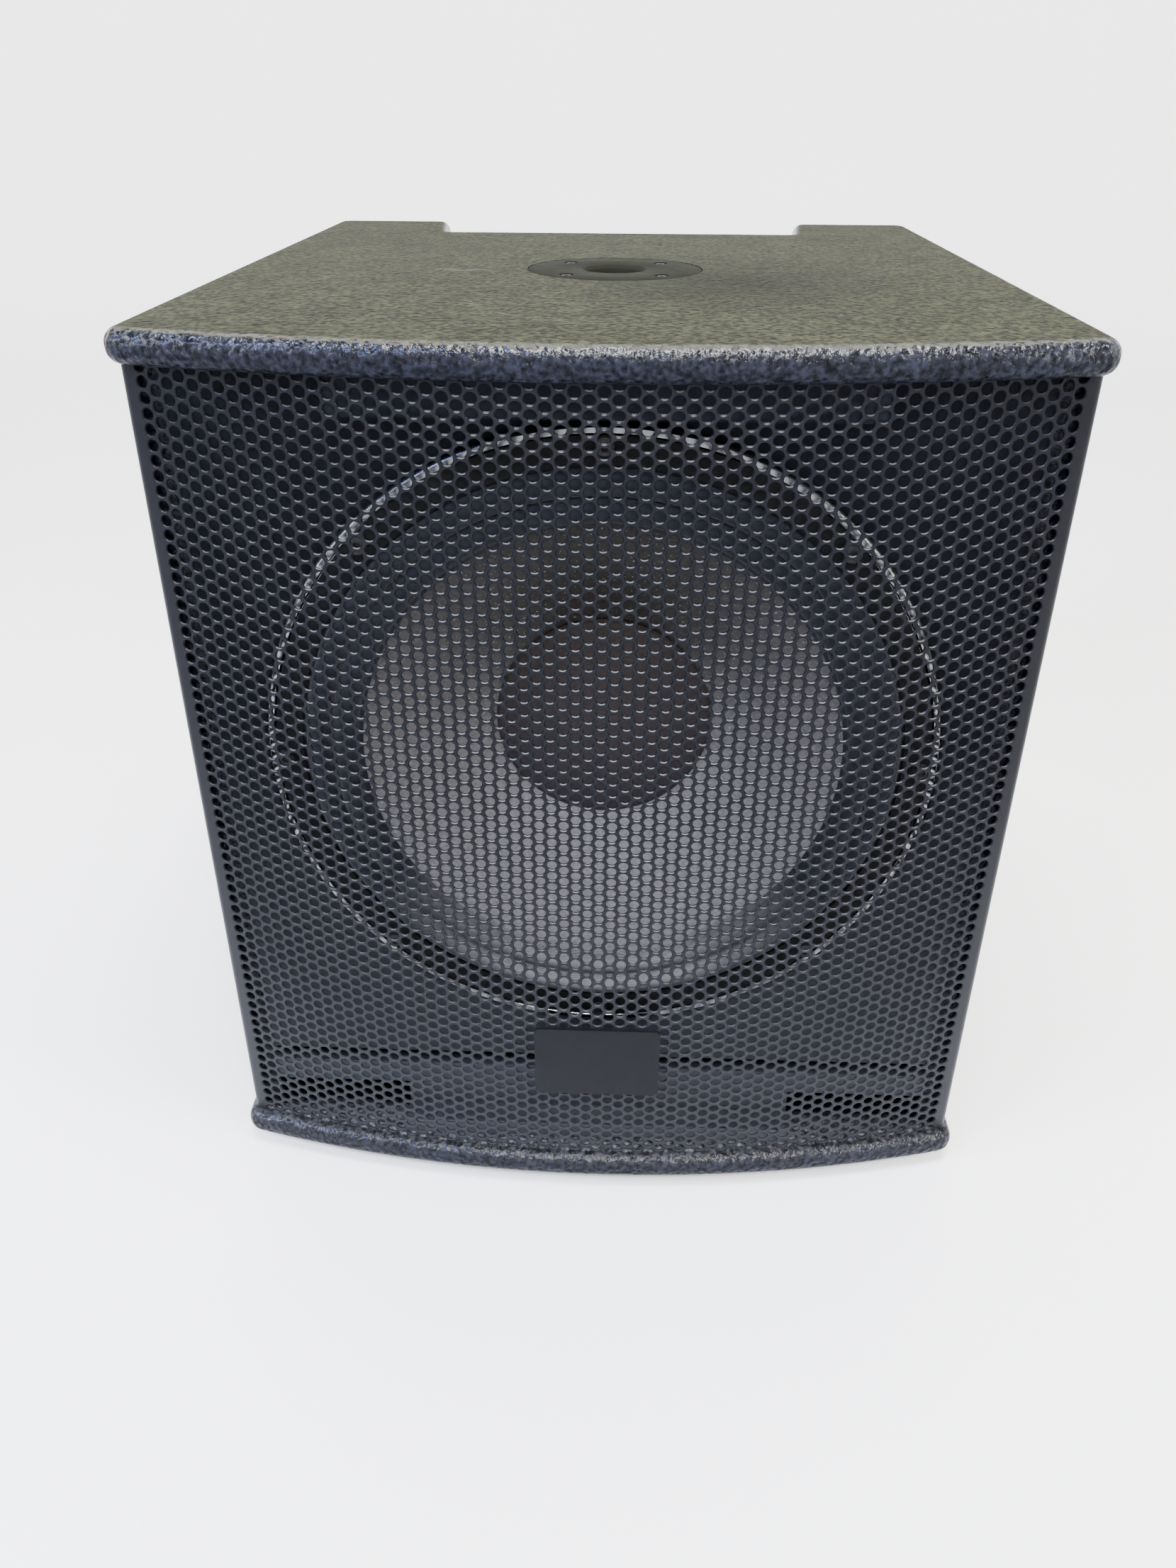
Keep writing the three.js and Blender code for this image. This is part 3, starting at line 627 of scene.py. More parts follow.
# Painted light: a much lighter copy of the inner paint, so the port shelf, centre block and lower batten
# look lit.
PAINTED_LIGHT_INNER = inner_paint("painted_light_inner_paint", (0.056, 0.060, 0.073))
PLY = plywood()
# The last colour is a painted highlight on the holes' lower lips.
GRILLE = powder_coat("grille_steel", (0.0034, 0.0037, 0.0052), 0.34, 0.07, (0.09, 0.09, 0.093))
BLACK_STEEL = powder_coat("black_steel", (0.02, 0.02, 0.021), 0.35)
BASKET = powder_coat("basket_metal", (0.02, 0.02, 0.022), 0.45)
RIM = turned_metal("machined_rim", (0.12, 0.123, 0.13), 0.2)
ZINC = turned_metal("zinc_steel", (0.5, 0.5, 0.47), 0.38)
PLASTIC = moulding("black_plastic", (0.003, 0.0033, 0.0045), 0.9, 0.5, 0.08)
MOULDED = moulding("moulded_plastic", (0.016, 0.016, 0.017), 1.3)
SOCKET = moulding("socket_plastic", (0.0098, 0.0102, 0.0074), 1.1, 0.6, 0.005)
RUBBER = rubber()
# The last colour is painted light on the lower, upward-facing part of the surround.
ROLLS = cloth("surround_cloth", (0.013, 0.015, 0.021), 0.7, (0.21, 0.21, 0.215))
SPIDER = cloth("spider_cloth", (0.42, 0.3, 0.14), 0.8)
# Its second colour is painted light on the cone's lower half.
CONE = paper("cone_paper", (0.021, 0.0185, 0.017), (0.18, 0.177, 0.185), 2.4)
CAP = paper("cap_paper", (0.027, 0.0255, 0.030), (0.033, 0.027, 0.0255), 1.5)
FILM = moulding("former_film", (0.35, 0.2, 0.06), 2.0, 0.3)
COPPER = winding()
FERRITE = moulding("ferrite", (0.03, 0.03, 0.031), 0.6, 0.65)
GREEN = moulding("circuit_board", (0.03, 0.12, 0.06), 2.2, 0.35)
RED = moulding("red_insulation", (0.45, 0.02, 0.02), 1.0, 0.4)
BLACK_WIRE = moulding("black_insulation", (0.012, 0.012, 0.013), 1.0, 0.4)
FELT = wadding()


# ---- Case --------------------------------------------------------------------

def panel_outline():
    half = PANEL_HALF
    chord = PANEL_FRONT + BOW
    steps = 64
    front = []
    for step in range(2, steps - 1):            # the corners' rounds take the first and the last step
        x = -half + 2 * half * step / steps
        front.append((x, bowed(x, half, chord), 0))
    notch_floor = PANEL_BACK - NOTCH_DEPTH
    return rounded([
        (-half, chord, CORNER_ROUND), *front, (half, chord, CORNER_ROUND),
        (half, PANEL_BACK, CORNER_ROUND), (NOTCH_HALF_BACK, PANEL_BACK, EAR_ROUND),
        (NOTCH_HALF_FRONT, notch_floor, NOTCH_ROUND), (-NOTCH_HALF_FRONT, notch_floor, NOTCH_ROUND),
        (-NOTCH_HALF_BACK, PANEL_BACK, EAR_ROUND), (-half, PANEL_BACK, CORNER_ROUND),
    ])


def panel(name, node):
    base = low(node, Z)
    thickness = high(node, Z) - base
    return slab(name, panel_outline(), lambda x, y, z: metres(x, y, base + z), thickness, EDGE_ROUND, 8)


def make_panels():
    top = panel("top_board", "top_panel")
    place = upright(0, SOCKET_Y)
    rebate = turned("rebate", rod(high("pole_socket", X) + 0.4, TOP - 3, TOP + 2), place, 128)
    hole = turned("hole", rod(SOCKET_SLEEVE + 0.5, TOP - 30, TOP + 2), place, 96)
    finish_piece(cut_away(top, rebate, hole), "textured_paint", PAINT, "top_panel")
    bottom = panel("bottom_board", "bottom_panel")
    finish_piece(bottom, "textured_paint", LOWER_PAINT, "bottom_panel")


# ---- Grille ------------------------------------------------------------------

SHEET = 1.5                                     # thickness
HOLE_RADIUS = 3.05
LIP_WIDTH = 0.45                                # slope round each hole's front edge
LIP_DEPTH = 0.66
COLUMN_PITCH = 7.1
ROW_PITCH = 7.9
SIDE_STRIP = 8.1
HOLE_POINTS = 16
GRILLE_BEND = 5
DENT = 12                                       # how far the sheet is pushed in at its middle
DENT_HALF = 165
DENT_HEIGHTS = (140, 205, 490, 532)             # where it starts, is full, stops being full and ends


def smoothstep(start, end, value):
    t = min(1, max(0, (value - start) / (end - start)))
    return t * t * (3 - 2 * t)


def bend_start(half):
    """Distance along the grille's outer face from its middle to where a side edge begins to fold."""
    radius = bow_radius(half)
    turn = math.asin(half / radius)
    return radius * turn - GRILLE_BEND * math.tan((math.pi / 2 - turn) / 2)


def grille_path(s, half):
    """Plan position on the grille's outer face, s millimetres from the middle along it."""
    radius = bow_radius(half)
    side = math.copysign(1, s)
    distance = abs(s)
    reach = bend_start(half)
    if distance <= reach:
        angle = distance / radius
        return side * radius * math.sin(angle), radius - BOW - radius * math.cos(angle)
    start = reach / radius
    corner = math.pi / 2 - start
    centre = Vector((math.sin(start), -math.cos(start))) * (radius - GRILLE_BEND)
    centre.y += radius - BOW
    past = (distance - reach) / GRILLE_BEND
    if past <= corner:
        angle = start + past
        bend = Vector((math.sin(angle), -math.cos(angle))) * GRILLE_BEND
        return side * (centre.x + bend.x), centre.y + bend.y
    return side * (centre.x + GRILLE_BEND), centre.y + (past - corner) * GRILLE_BEND


def dent(x, z):
    first, full, fading, last = DENT_HEIGHTS
    across = max(0, 1 - (x / DENT_HALF) ** 2) ** 1.5
    return DENT * across * smoothstep(first, full, z) * (1 - smoothstep(fading, last, z))


def hole_cell(s, z, width, height, halves):
    """Faces round one hole, or half of one at a cut edge: the web, and the ring that becomes its lip."""
    edge = [(1, 0), (1, 1), (0, 1), (-1, 1), (-1, 0), (-1, -1), (0, -1), (1, -1)]
    per_edge = HOLE_POINTS // len(edge)
    kept = {"whole": range(8), "upper": range(4), "lower": range(4, 8)}[halves]

    def on_ring(radius, point):
        angle = 2 * math.pi * point / HOLE_POINTS
        return s + radius * math.cos(angle), z + radius * math.sin(angle)

    web, lips = [], []
    for k in kept:
        corners = [(s + u * width / 2, z + v * height / 2) for u, v in (edge[k], edge[(k + 1) % 8])]
        points = range((k + 1) * per_edge, k * per_edge - 1, -1)
        web.append(corners + [on_ring(HOLE_RADIUS + LIP_WIDTH, point) for point in points])
        for point in points[:-1]:
            inner = [on_ring(HOLE_RADIUS, at) for at in (point, point - 1)]
            outer = [on_ring(HOLE_RADIUS + LIP_WIDTH, at) for at in (point - 1, point)]
            lips.append(inner + outer)
    return web, lips


def grille_faces(arc_half, z0, z1):
    """The web's faces, the lips' faces, where the holes end along the sheet, and the rows' heights."""
    columns = round((2 * arc_half - 2 * SIDE_STRIP) / COLUMN_PITCH)
    rows = round((z1 - z0) / ROW_PITCH)
    pitch = (z1 - z0) / rows
    first = -(columns - 1) / 2 * COLUMN_PITCH
    cells = []
    for column in range(columns):
        s = first + column * COLUMN_PITCH
        if column % 2:
            cells += [(s, z0 + (row + 0.5) * pitch, "whole") for row in range(rows)]
            continue
        cells += [(s, z0, "upper"), (s, z1, "lower")]
        cells += [(s, z0 + row * pitch, "whole") for row in range(1, rows)]
    web, lips = [], []
    for s, z, halves in cells:
        more_web, more_lips = hole_cell(s, z, COLUMN_PITCH, pitch, halves)
        web += more_web
        lips += more_lips
    heights = [z0 + pitch * k / 2 for k in range(2 * rows + 1)]
    return web, lips, -first + COLUMN_PITCH / 2, heights


def strip_faces(start, end, heights, steps):
    faces = []
    for side in (-1, 1):
        for step in range(steps):
            a = side * (start + (end - start) * step / steps)
            b = side * (start + (end - start) * (step + 1) / steps)
            for z0, z1 in zip(heights, heights[1:]):
                faces.append([(a, z0), (b, z0), (b, z1), (a, z1)])
    return faces


def make_grille():
    half = high("grille", X)
    z0, z1 = low("grille", Z), high("grille", Z)
    radius = bow_radius(half)
    flat_reach = bend_start(half)
    bend_end = flat_reach + GRILLE_BEND * (math.pi / 2 - flat_reach / radius)
    flange_end = bend_end + GRILLE_FLANGE - grille_path(bend_end, half)[1]
    web, lips, holes_end, heights = grille_faces(radius * math.asin(half / radius), z0, z1)
    web += strip_faces(holes_end, flat_reach, heights, 2)
    web += strip_faces(flat_reach, bend_end, heights, 6)
    web += strip_faces(bend_end, flange_end, heights, 2)
    points, indexed = [], []
    for corners in web + lips:
        start = len(points)
        for s, z in corners:
            x, depth = grille_path(s, half)
            points.append(metres(x, FACE + depth + dent(x, z), z))
        indexed.append(tuple(range(start, len(points))))
    sheet = new_object("grille_sheet", points, indexed, 30)
    count = len(sheet.data.vertices)
    on_web = {index for face in sheet.data.polygons[:len(web)] for index in face.vertices}
    thicken(sheet, SHEET, inward_offset(sheet), 30)
    slope_lips(sheet, count, set(range(count)) - on_web)
    finish_piece(sheet, "grille_steel", GRILLE, "grille")


def slope_lips(sheet, count, rims):
    """Moves the holes' front rims back into the sheet. The back of the sheet repeats the front's points
    in the same order, count further on."""
    vertices = sheet.data.vertices
    for index in rims:
        vertices[index].co += (vertices[count + index].co - vertices[index].co) * LIP_DEPTH / SHEET
    tidy_mesh(sheet.data, 30)


def inward_offset(sheet):
    """Solidify's offset that keeps the outer face in place, whichever way the faces point."""
    outward = sum(p.normal.y * p.area for p in sheet.data.polygons) < 0
    return -1.0 if outward else 1.0


def make_badge():
    front, back = low("badge_plate", Y), high("badge_plate", Y)
    half, z0, z1 = high("badge_plate", X), low("badge_plate", Z), high("badge_plate", Z)
    outline = rounded([(-half, z0, 3), (half, z0, 3), (half, z1, 3), (-half, z1, 3)])
    plate = slab("badge", outline, lambda x, z, along: metres(x, back - along, z), back - front, 0.7)
    finish_piece(plate, "black_plastic", PLASTIC, "badge_plate")


# ---- Driver ------------------------------------------------------------------

# Each profile below is a list of (radius, depth).
RIM_PROFILE = [(170, -4.2), (188.3, -4.2), (188.7, -7.6), (189.1, -8), (191.8, -8), (192.2, -7.8),
               (193.8, -6.2), (194, -5.8), (194, -1.3), (170, -1.3)]
BASKET_SPINE = [(173, -1), (172, 12), (168, 22), (152, 60), (142, 70), (129, 82), (127, 86),
                (104, 86), (103, 111)]
GASKET_PROFILE = [(172.5, -5.3), (172.5, -7.4), (172.9, -7.7), (187.5, -7.7), (188, -7.4), (188, -5.3)]
CONE_SPINE = [(141.2, -1), (104, 22), (67, 50), (52.6, 66)]
CONE_THICKNESS = 1.8
CAP_RADIUS = 66
CAP_RISE = 19.5
CAP_EDGE = 49                                   # depth of the dust cap's edge
CAP_THICKNESS = 1.1
BASKET_THICKNESS = 3
SPOKES = 6
SPOKE_SHARE = 0.27                              # of the way round, that the spokes take
WINDOW_ROWS = range(2, 5)                       # of the basket's spine, that are open between the spokes


def make_basket():
    rim = turned("basket_rim", RIM_PROFILE, about_driver, 192, 25)
    finish_piece(rim, "machined_rim", RIM, "driver_basket")
    frame_body = ribbed_shell("basket_frame", BASKET_SPINE)
    finish_piece(frame_body, "basket_metal", BASKET)


def ribbed_shell(name, spine):
    """A turned shell with windows between its spokes."""
    segments = 144
    turns = [2 * math.pi * k / segments for k in range(segments)]
    rows = [[about_driver(r, depth, turn) for turn in turns] for r, depth in spine]
    per_spoke = segments // SPOKES
    faces = []
    for index, face in enumerate(strips(rows)):
        row, k = divmod(index, segments)
        solid = k % per_spoke / per_spoke <= SPOKE_SHARE
        if solid or row not in WINDOW_ROWS:
            faces.append(face)
    shell = new_object(name, end_to_end(rows), faces)
    return thicken(shell, BASKET_THICKNESS)


def make_front_gasket():
    ring = turned("rim_gasket", GASKET_PROFILE, about_driver, 160)
    finish_piece(ring, "rubber", RUBBER, "front_gasket")


def surround_spine():
    """Two half rolls side by side, with a flat foot at each edge."""
    spine = [(176.3, -5.2), (171, -5.1)]
    for middle, foot in ((163.75, -4.4), (149.25, -3.0)):
        for step in range(1, 16):
            angle = math.pi * step / 15
            spine.append((middle + 7.25 * math.cos(angle), foot - 6.5 * math.sin(angle)))
    return [*spine, (141.6, -1.9), (139.4, -0.4)]


def corrugated_spine():
    """The spider's waves between its flat edges."""
    spine = [(123, 83)]
    for step in range(49):
        r = 102 - step * 44.4 / 48
        spine.append((r, 79.5 + 2 * math.cos(math.pi * step / 8)))
    return [*spine, (52.2, 79.5)]


def rolling_ring(name, node, spine, look, thickness=0.6, parts=24, fine=10):
    """A ring that rolls between the basket and the cone. Each part bends along its own radius, and
    neighbours match at their seam because both see it at the same angle."""
    for part in range(parts):
        start = 2 * math.pi * part / parts
        turns = [start + 2 * math.pi / parts * k / fine for k in range(fine + 1)]
        rows = [[about_driver(r, depth, turn) for turn in turns] for r, depth in spine]
        points = end_to_end(rows)
        piece = new_object(f"{name}_{part + 1}", points, strips(rows, False), 60)
        thicken(piece, thickness, sharp=60)
        piece.data.materials.append(look)
        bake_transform(piece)
        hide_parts(node)


def make_moving_body():
    front = smooth_through(CONE_SPINE, 14)
    skin = [*front, *[(r, depth + CONE_THICKNESS) for r, depth in reversed(front)]]
    cone = turned("cone_skin", skin, about_driver, 160)
    finish_piece(cone, "cone_paper", CONE, "cone", body="moving_cone")
    radius = (CAP_RADIUS * CAP_RADIUS + CAP_RISE * CAP_RISE) / (2 * CAP_RISE)
    dome = []
    for step in range(25):
        r = CAP_RADIUS * step / 24
        dome.append((r, CAP_EDGE - (math.sqrt(radius * radius - r * r) - (radius - CAP_RISE))))
    back = [(r, depth + CAP_THICKNESS) for r, depth in reversed(dome)]
    dome.append((CAP_RADIUS, CAP_EDGE + 0.9))
    cap = turned("dust_dome", [*dome, *back], about_driver, 128, 60)
    finish_piece(cap, "cap_paper", CAP, "dust_cap", body="moving_cone")


def make_driver_bolts():
    for number in range(1, 9):
        node = f"driver_bolt_{number}"
        angle = (number - 1) * math.pi / 4
        x = BOLT_CIRCLE * math.cos(angle)
        z = DRIVER_HEIGHT + BOLT_CIRCLE * math.sin(angle)
        profile = [(0, -12), (4.1, -12), (4.7, -11.8), (5, -11.3), (5, -8), *rod(2.6, -8, 14)[1:]]
        bolt = turned(f"rim_bolt_{number}", profile, along_y(x, z), 32)
        key = turned("key", rod(2.6, -13, -9.2), along_y(x, z), 6)
        finish_piece(cut_away(bolt, key), "black_steel", BLACK_STEEL, node)


# ---- Pole socket -------------------------------------------------------------

def screw_places():
    for k in range(4):
        angle = math.radians(45 + 90 * k)
        x = SOCKET_SCREW_CIRCLE * math.cos(angle)
        yield k + 1, x, SOCKET_Y + SOCKET_SCREW_CIRCLE * math.sin(angle)


def make_pole_socket():
    flange = high("pole_socket", X)
    under = TOP - 2.7
    bottom = low("pole_socket", Z)
    profile = [
        (0, bottom), (SOCKET_SLEEVE, bottom), (SOCKET_SLEEVE, under), (flange, under),
        (flange, TOP - 0.7), (flange - 0.25, TOP - 0.2), (flange - 0.8, TOP),
        (22, TOP), (20.6, TOP - 0.5), (18.8, TOP - 2), (SOCKET_BORE, TOP - 2.6),
        (SOCKET_BORE, bottom + 4), (0, bottom + 4),
    ]
    moulding_body = turned("pole_socket_moulding", profile, upright(0, SOCKET_Y), 128)
    sink = [(0, TOP - 1.7), (4.3, TOP - 1.7), (4.9, TOP + 1), (0, TOP + 1)]
    sinks = []
    for number, x, y in screw_places():
        sinks.append(turned(f"sink_{number}", sink, upright(x, y), 32))
    cut_away(moulding_body, *sinks)
    finish_piece(moulding_body, "socket_plastic", SOCKET, "pole_socket")
    for number, x, y in screw_places():
        node = f"pole_socket_screw_{number}"
        make_screw(f"pole_screw_{number}", upright(x, y), TOP - 1.6, TOP - 0.5, node)


def make_screw(name, place, base, crown, *nodes, radius=3.8):
    """A pan-head screw with a hexagonal recess, its head between two heights on its axis."""
    step = crown - base
    profile = [(0, base), (radius, base), (radius, base + 0.5 * step), (radius - 0.7, crown), (0, crown)]
    head = turned(name, profile, place, 32)
    key = turned("key", rod(1.7, base + 0.35 * step, crown + step), place, 6)
    finish_piece(cut_away(head, key), "black_steel", BLACK_STEEL, *nodes)


# ---- Sides, back and feet ----------------------------------------------------

def tray(name, rings, place, corners=10):
    """A lofted shell through rounded rectangles, each (half y, half z, corner radius, outward)."""
    rows = []
    for half_y, half_z, radius, outward in rings:
        outline = rounded([(-half_y, -half_z, radius), (half_y, -half_z, radius),
                           (half_y, half_z, radius), (-half_y, half_z, radius)], corners)
        rows.append([place(p.x, p.y, outward) for p in outline])
    faces = strips(rows)
    count = len(rows[0])
    faces.append(tuple(range((len(rows) - 1) * count, len(rows) * count)))
    faces.append(tuple(reversed(range(count))))
    return new_object(name, end_to_end(rows), faces, 30)


def make_handle(word, side):
    node = f"side_handle_{word}"
    outer = high("side_handle_right", X)
    inner = low("side_handle_right", X)
    y, z = centre_of(node, Y), centre_of(node, Z)
    half_y = (high(node, Y) - low(node, Y)) / 2
    half_z = (high(node, Z) - low(node, Z)) / 2
    margin, wall, plate = 16, 2.5, 2.5
    steps = [
        (-margin, 20, inner), (wall - margin, 22, inner + 3), (wall - margin, 22, outer - plate),
        (0, 20, outer - plate), (0, 20, outer - 1), (-1, 19, outer), (3 - margin, 22, outer),
        (-margin, 20, outer - 3), (-margin - 1, 20, inner + 8), (-margin - 5, 18, inner + wall),
    ]
    rings = [(half_y + gap, half_z + gap, radius, out) for gap, radius, out in steps]
    cup = tray(f"handle_cup_{word}", rings, lambda u, v, out: metres(side * out, y + u, z + v))
    finish_piece(cup, "moulded_plastic", MOULDED, node)
    make_grip(word, side, y, z, half_y - margin)
    for end, u in (("f", -1), ("r", 1)):
        for level, v in (("l", -1), ("u", 1)):
            place = sideways(side, y + u * (half_y - 8), z + v * (half_z - 8))
            make_screw(f"handle_screw_{word}_{end}{level}", place, outer - 1.2, outer - 0.1)


def sideways(side, y, z):
    return lambda r, out, angle: metres(side * out, y + r * math.cos(angle), z + r * math.sin(angle))


def make_grip(word, side, y, z, reach):
    """A round bar across the cup, let into its two ends."""
    grip_x, grip_z, radius, let_in = 229.5, z + 22, 12, 1
    profile = rod(radius, y - reach - let_in - FACE, y + reach + let_in - FACE)
    grip = turned(f"handle_grip_{word}", profile, along_y(side * grip_x, grip_z), 48, 50)
    finish_piece(grip, "moulded_plastic", MOULDED)


PLUG_SOCKET_X = 32                              # from the middle of the connector plate


def make_connectors():
    front, back = low("connector_plate", Y), high("connector_plate", Y)
    half = high("connector_plate", X)
    z0, z1 = low("connector_plate", Z), high("connector_plate", Z)
    middle = (z0 + z1) / 2
    outline = rounded([(-half, z0, 6), (half, z0, 6), (half, z1, 6), (-half, z1, 6)])
    plate = slab("rear_plate", outline, lambda x, z, along: metres(x, back - along, z), back - front, 0.4)
    holes = []
    for side in (-1, 1):
        profile = rod(13.5, front - FACE - 3, back - FACE + 3)
        holes.append(turned("hole", profile, along_y(side * PLUG_SOCKET_X, middle), 64))
    finish_piece(cut_away(plate, *holes), "black_steel", BLACK_STEEL, "connector_plate")
    for number, (u, v) in enumerate(((-1, -1), (1, -1), (1, 1), (-1, 1)), 1):
        place = along_y(u * (half - 8), middle + v * (z1 - middle - 8))
        make_screw(f"rear_plate_screw_{number}", place, back - FACE, back - FACE + 2)
    for word, side in (("left", -1), ("right", 1)):
        make_plug_socket(word, side * PLUG_SOCKET_X, middle)


def make_plug_socket(word, x, z):
    node = f"speaker_socket_{word}"
    inner, outer = low(node, Y) - FACE, high(node, Y) - FACE
    profile = [
        (0, inner), (13, inner), (13, outer - 2.4), (17, outer - 2.4), (17, outer - 0.9),
        (16.6, outer - 0.3), (16, outer), (11.6, outer), (10.8, outer - 1), (10.8, inner + 6),
        (6.2, inner + 6), (6.2, outer - 4), (5.4, outer - 3.4), (0, outer - 3.4),
    ]
    body = turned(f"plug_socket_{word}", profile, along_y(x, z), 96)
    finish_piece(body, "moulded_plastic", MOULDED, node)


def make_feet():
    for end in ("front", "rear"):
        for word in ("left", "right"):
            node = f"rubber_foot_{end}_{word}"
            x, y = centre_of(node, X), centre_of(node, Y)
            crown = high(node, Z)
            profile = [(0, 0), (15.8, 0), (16.9, 0.5), (17.6, 1.4), (18.9, crown), (0, crown)]
            foot = turned(f"foot_{end}_{word}", profile, upright(x, y), 64)
            bore = turned("bore", rod(5, -1, 4), upright(x, y), 32)
            finish_piece(cut_away(foot, bore), "rubber", RUBBER, node)


def make_wadding(word):
    """A crowned pad with sides that pull in, glued flat under the top panel."""
    node = f"damping_pad_{word}"
    lower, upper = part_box(node)
    centre, half = (lower + upper) / 2, (upper - lower) / 2
    steps = 40
    rows = []
    for i in range(-steps // 2, steps // 2 + 1):
        u = 2 * i / steps
        rows.append([wadding_point(centre, half, u, 2 * k / steps - 1) for k in range(steps + 1)])
    count = len(rows[0])
    under = end_to_end(rows)
    flat = [Vector((p.x, p.y, upper.z)) for p in under]
    faces = strips(rows, False)
    faces += [tuple(len(under) + k for k in reversed(face)) for face in strips(rows, False)]
    ring = list(range(count)) + [i * count + count - 1 for i in range(1, len(rows))]
    ring += [(len(rows) - 1) * count + k for k in range(count - 2, -1, -1)]
    ring += [i * count for i in range(len(rows) - 2, 0, -1)]
    for a, b in zip(ring, ring[1:] + ring[:1]):
        faces.append((a, b, len(under) + b, len(under) + a))
    pad = new_object(f"wadding_{word}", under + flat, faces, 60)
    finish_piece(pad, "felt", FELT, node)


def wadding_point(centre, half, u, v):
    pull = 0.03
    x = centre.x + half.x * u * (1 - pull * (1 - v * v) * abs(u))
    y = centre.y + half.y * v * (1 - pull * (1 - u * u) * abs(v))
    crown = (1 - u ** 4) * (1 - v ** 4)
    tuft = 0.5 + 0.5 * noise.noise(Vector((x, y, 0)) * 60)
    return Vector((x, y, centre.z + half.z * (0.75 - 1.6 * crown) + half.z * 0.12 * tuft))


CARRIED = {
    PAINT: ["side_panel_left", "side_panel_right", "recess_cheek_left", "recess_cheek_right",
            "rear_panel_left", "rear_panel_right", "recess_back_panel"],
    INNER: ["baffle", "upper_grille_batten"],
    PAINTED_LIGHT_INNER: ["port_shelf", "port_centre_block", "lower_grille_batten"],
    PLY: ["port_divider_left", "port_divider_right", "window_brace"],
    FILM: ["coil_former"],
    COPPER: ["voice_coil", "filter_inductor"],
    ZINC: ["magnet_top_plate", "pole_and_back_plate"],
    FERRITE: ["magnet"],
    PLASTIC: ["driver_terminal", "filter_capacitor"],
    GREEN: ["filter_board"],
    RED: ["driver_lead_red"],
    BLACK_WIRE: ["driver_lead_black"],
}
EASED = ["port_shelf", "port_centre_block", "lower_grille_batten", "upper_grille_batten",
         "side_panel_left", "side_panel_right", "recess_cheek_left", "recess_cheek_right",
         "rear_panel_left", "rear_panel_right"]


def dress_carried_nodes():
    for look, names in CARRIED.items():
        for name in names:
            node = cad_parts[name]
            node.data.materials.clear()
            node.data.materials.append(look)
    for name in EASED:
        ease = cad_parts[name].modifiers.new("eased_edges", "BEVEL")
        ease.width = 0.9 * MM
        ease.segments = 3
        ease.limit_method = "ANGLE"


# ---- Stage -------------------------------------------------------------------

def make_floor():
    """A pale floor that sweeps up into a backdrop on every side."""
    flat, sweep, wall, turns = 3.2, 1.6, 4.5, 96
    profile = [(0.001, 0), (flat, 0)]
    for step in range(1, 13):
        angle = math.pi / 2 * step / 12
        profile.append((flat + sweep * math.sin(angle), sweep * (1 - math.cos(angle))))
    profile.append((flat + sweep, wall))
    rows = [[(r * math.cos(2 * math.pi * k / turns), r * math.sin(2 * math.pi * k / turns), z)
             for k in range(turns)] for r, z in profile]
    floor = new_object("floor", end_to_end(rows), strips(rows), 60)
    look = Look("floor", 0.9)
    look.color(varied(look, (0.92, 0.92, 0.92), 0.015, 400))
    look.fix("Emission Color", (1, 1, 1, 1))
    look.link(look.away_from((0, -1.4), 2.2, 5.5, 1.4), look.shader.inputs["Emission Strength"])
    floor.data.materials.append(look.material)


def area_light(name, place, target, size, power, color):
    data = bpy.data.lights.new(name, "AREA")
    data.shape = "RECTANGLE"
    data.size, data.size_y = size
    data.energy = power
    data.color = color
    light = bpy.data.objects.new(name, data)
    light.location = place
    light.rotation_euler = (Vector(target) - Vector(place)).to_track_quat("-Z", "Y").to_euler()
    bpy.context.scene.collection.objects.link(light)


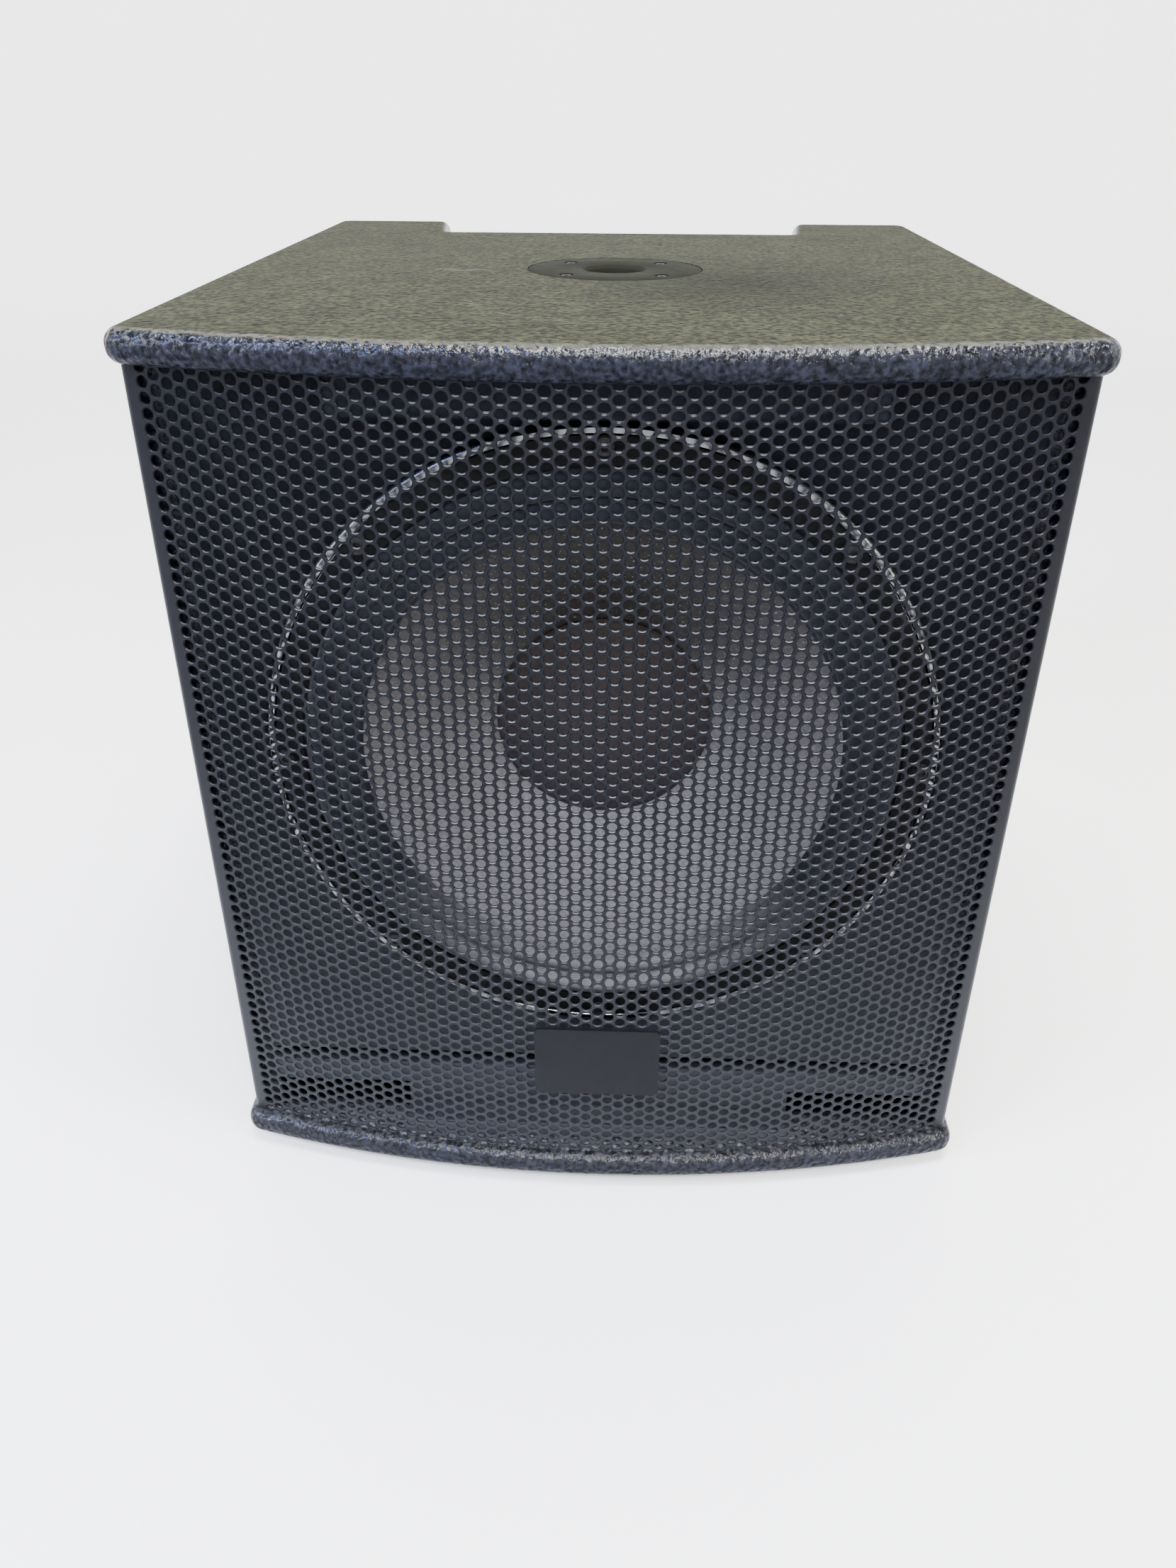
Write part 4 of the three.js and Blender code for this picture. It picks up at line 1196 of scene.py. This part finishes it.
# Name, place, target and size in metres, watts, and colour.
LIGHTS = [
    ("overhead", (0, 0.9, 2.6), (0, 0, 0.3), (2.6, 1.6), 85, (1, 0.98, 0.88)),
    ("overhead_front", (0.15, -0.6, 2.5), (0, -0.25, 0.3), (1.1, 0.6), 105, (1, 0.99, 0.96)),
    ("front", (0.25, -1.9, 2.1), (0, -0.25, 0.3), (0.7, 0.4), 80, (1, 0.98, 0.97)),
    ("front_left", (-1.3, -1.2, 1.8), (0, -0.2, 0.4), (0.6, 0.5), 60, (0.4, 0.52, 1)),
    ("left_low", (-1.9, -0.9, 1.1), (0, -0.1, 0.35), (0.5, 1.0), 55, (0.8, 0.88, 1)),
    ("right_low", (1.9, -0.9, 1.1), (0, -0.1, 0.35), (0.5, 1.0), 52, (1, 0.98, 0.96)),
    ("left_warm", (-1.3, 0.7, 0.75), (-0.25, -0.1, 0.5), (0.5, 0.4), 4, (1, 0.55, 0.3)),
]


def make_lights():
    for light in LIGHTS:
        area_light(*light)
    world = bpy.data.worlds.new("studio")
    world.use_nodes = True
    background = world.node_tree.nodes["Background"]
    background.inputs["Color"].default_value = (0.95, 0.97, 1.0, 1)
    background.inputs["Strength"].default_value = 0.16
    bpy.context.scene.world = world


CAMERA_PLACE = (0.0130, -0.8611, 0.6530)        # metres
YAW, PITCH, ROLL = -0.0341, 0.528, 0.0053       # radians to the right of +Y, downwards, and of tilt
SENSOR, LENS = 36, 27.44


def make_camera():
    forward = Vector((math.sin(YAW) * math.cos(PITCH), math.cos(YAW) * math.cos(PITCH), -math.sin(PITCH)))
    level = Vector((math.cos(YAW), -math.sin(YAW), 0))
    upward = level.cross(forward)
    right = level * math.cos(ROLL) + upward * math.sin(ROLL)
    up = upward * math.cos(ROLL) - level * math.sin(ROLL)
    data = bpy.data.cameras.new("camera")
    data.sensor_width = SENSOR
    data.lens = LENS
    camera = bpy.data.objects.new("camera", data)
    turn = Matrix((right, up, -forward)).transposed()
    camera.matrix_world = Matrix.Translation(CAMERA_PLACE) @ turn.to_4x4()
    bpy.context.scene.collection.objects.link(camera)
    bpy.context.scene.camera = camera


make_camera()
make_floor()
make_lights()
make_panels()
make_grille()
make_badge()
make_basket()
make_front_gasket()
rolling_ring("surround_part", "surround", surround_spine(), ROLLS)
rolling_ring("spider_part", "spider", corrugated_spine(), SPIDER, parts=16)
make_moving_body()
make_driver_bolts()
make_pole_socket()
make_handle("left", -1)
make_handle("right", 1)
make_connectors()
make_feet()
make_wadding("left")
make_wadding("right")
dress_carried_nodes()
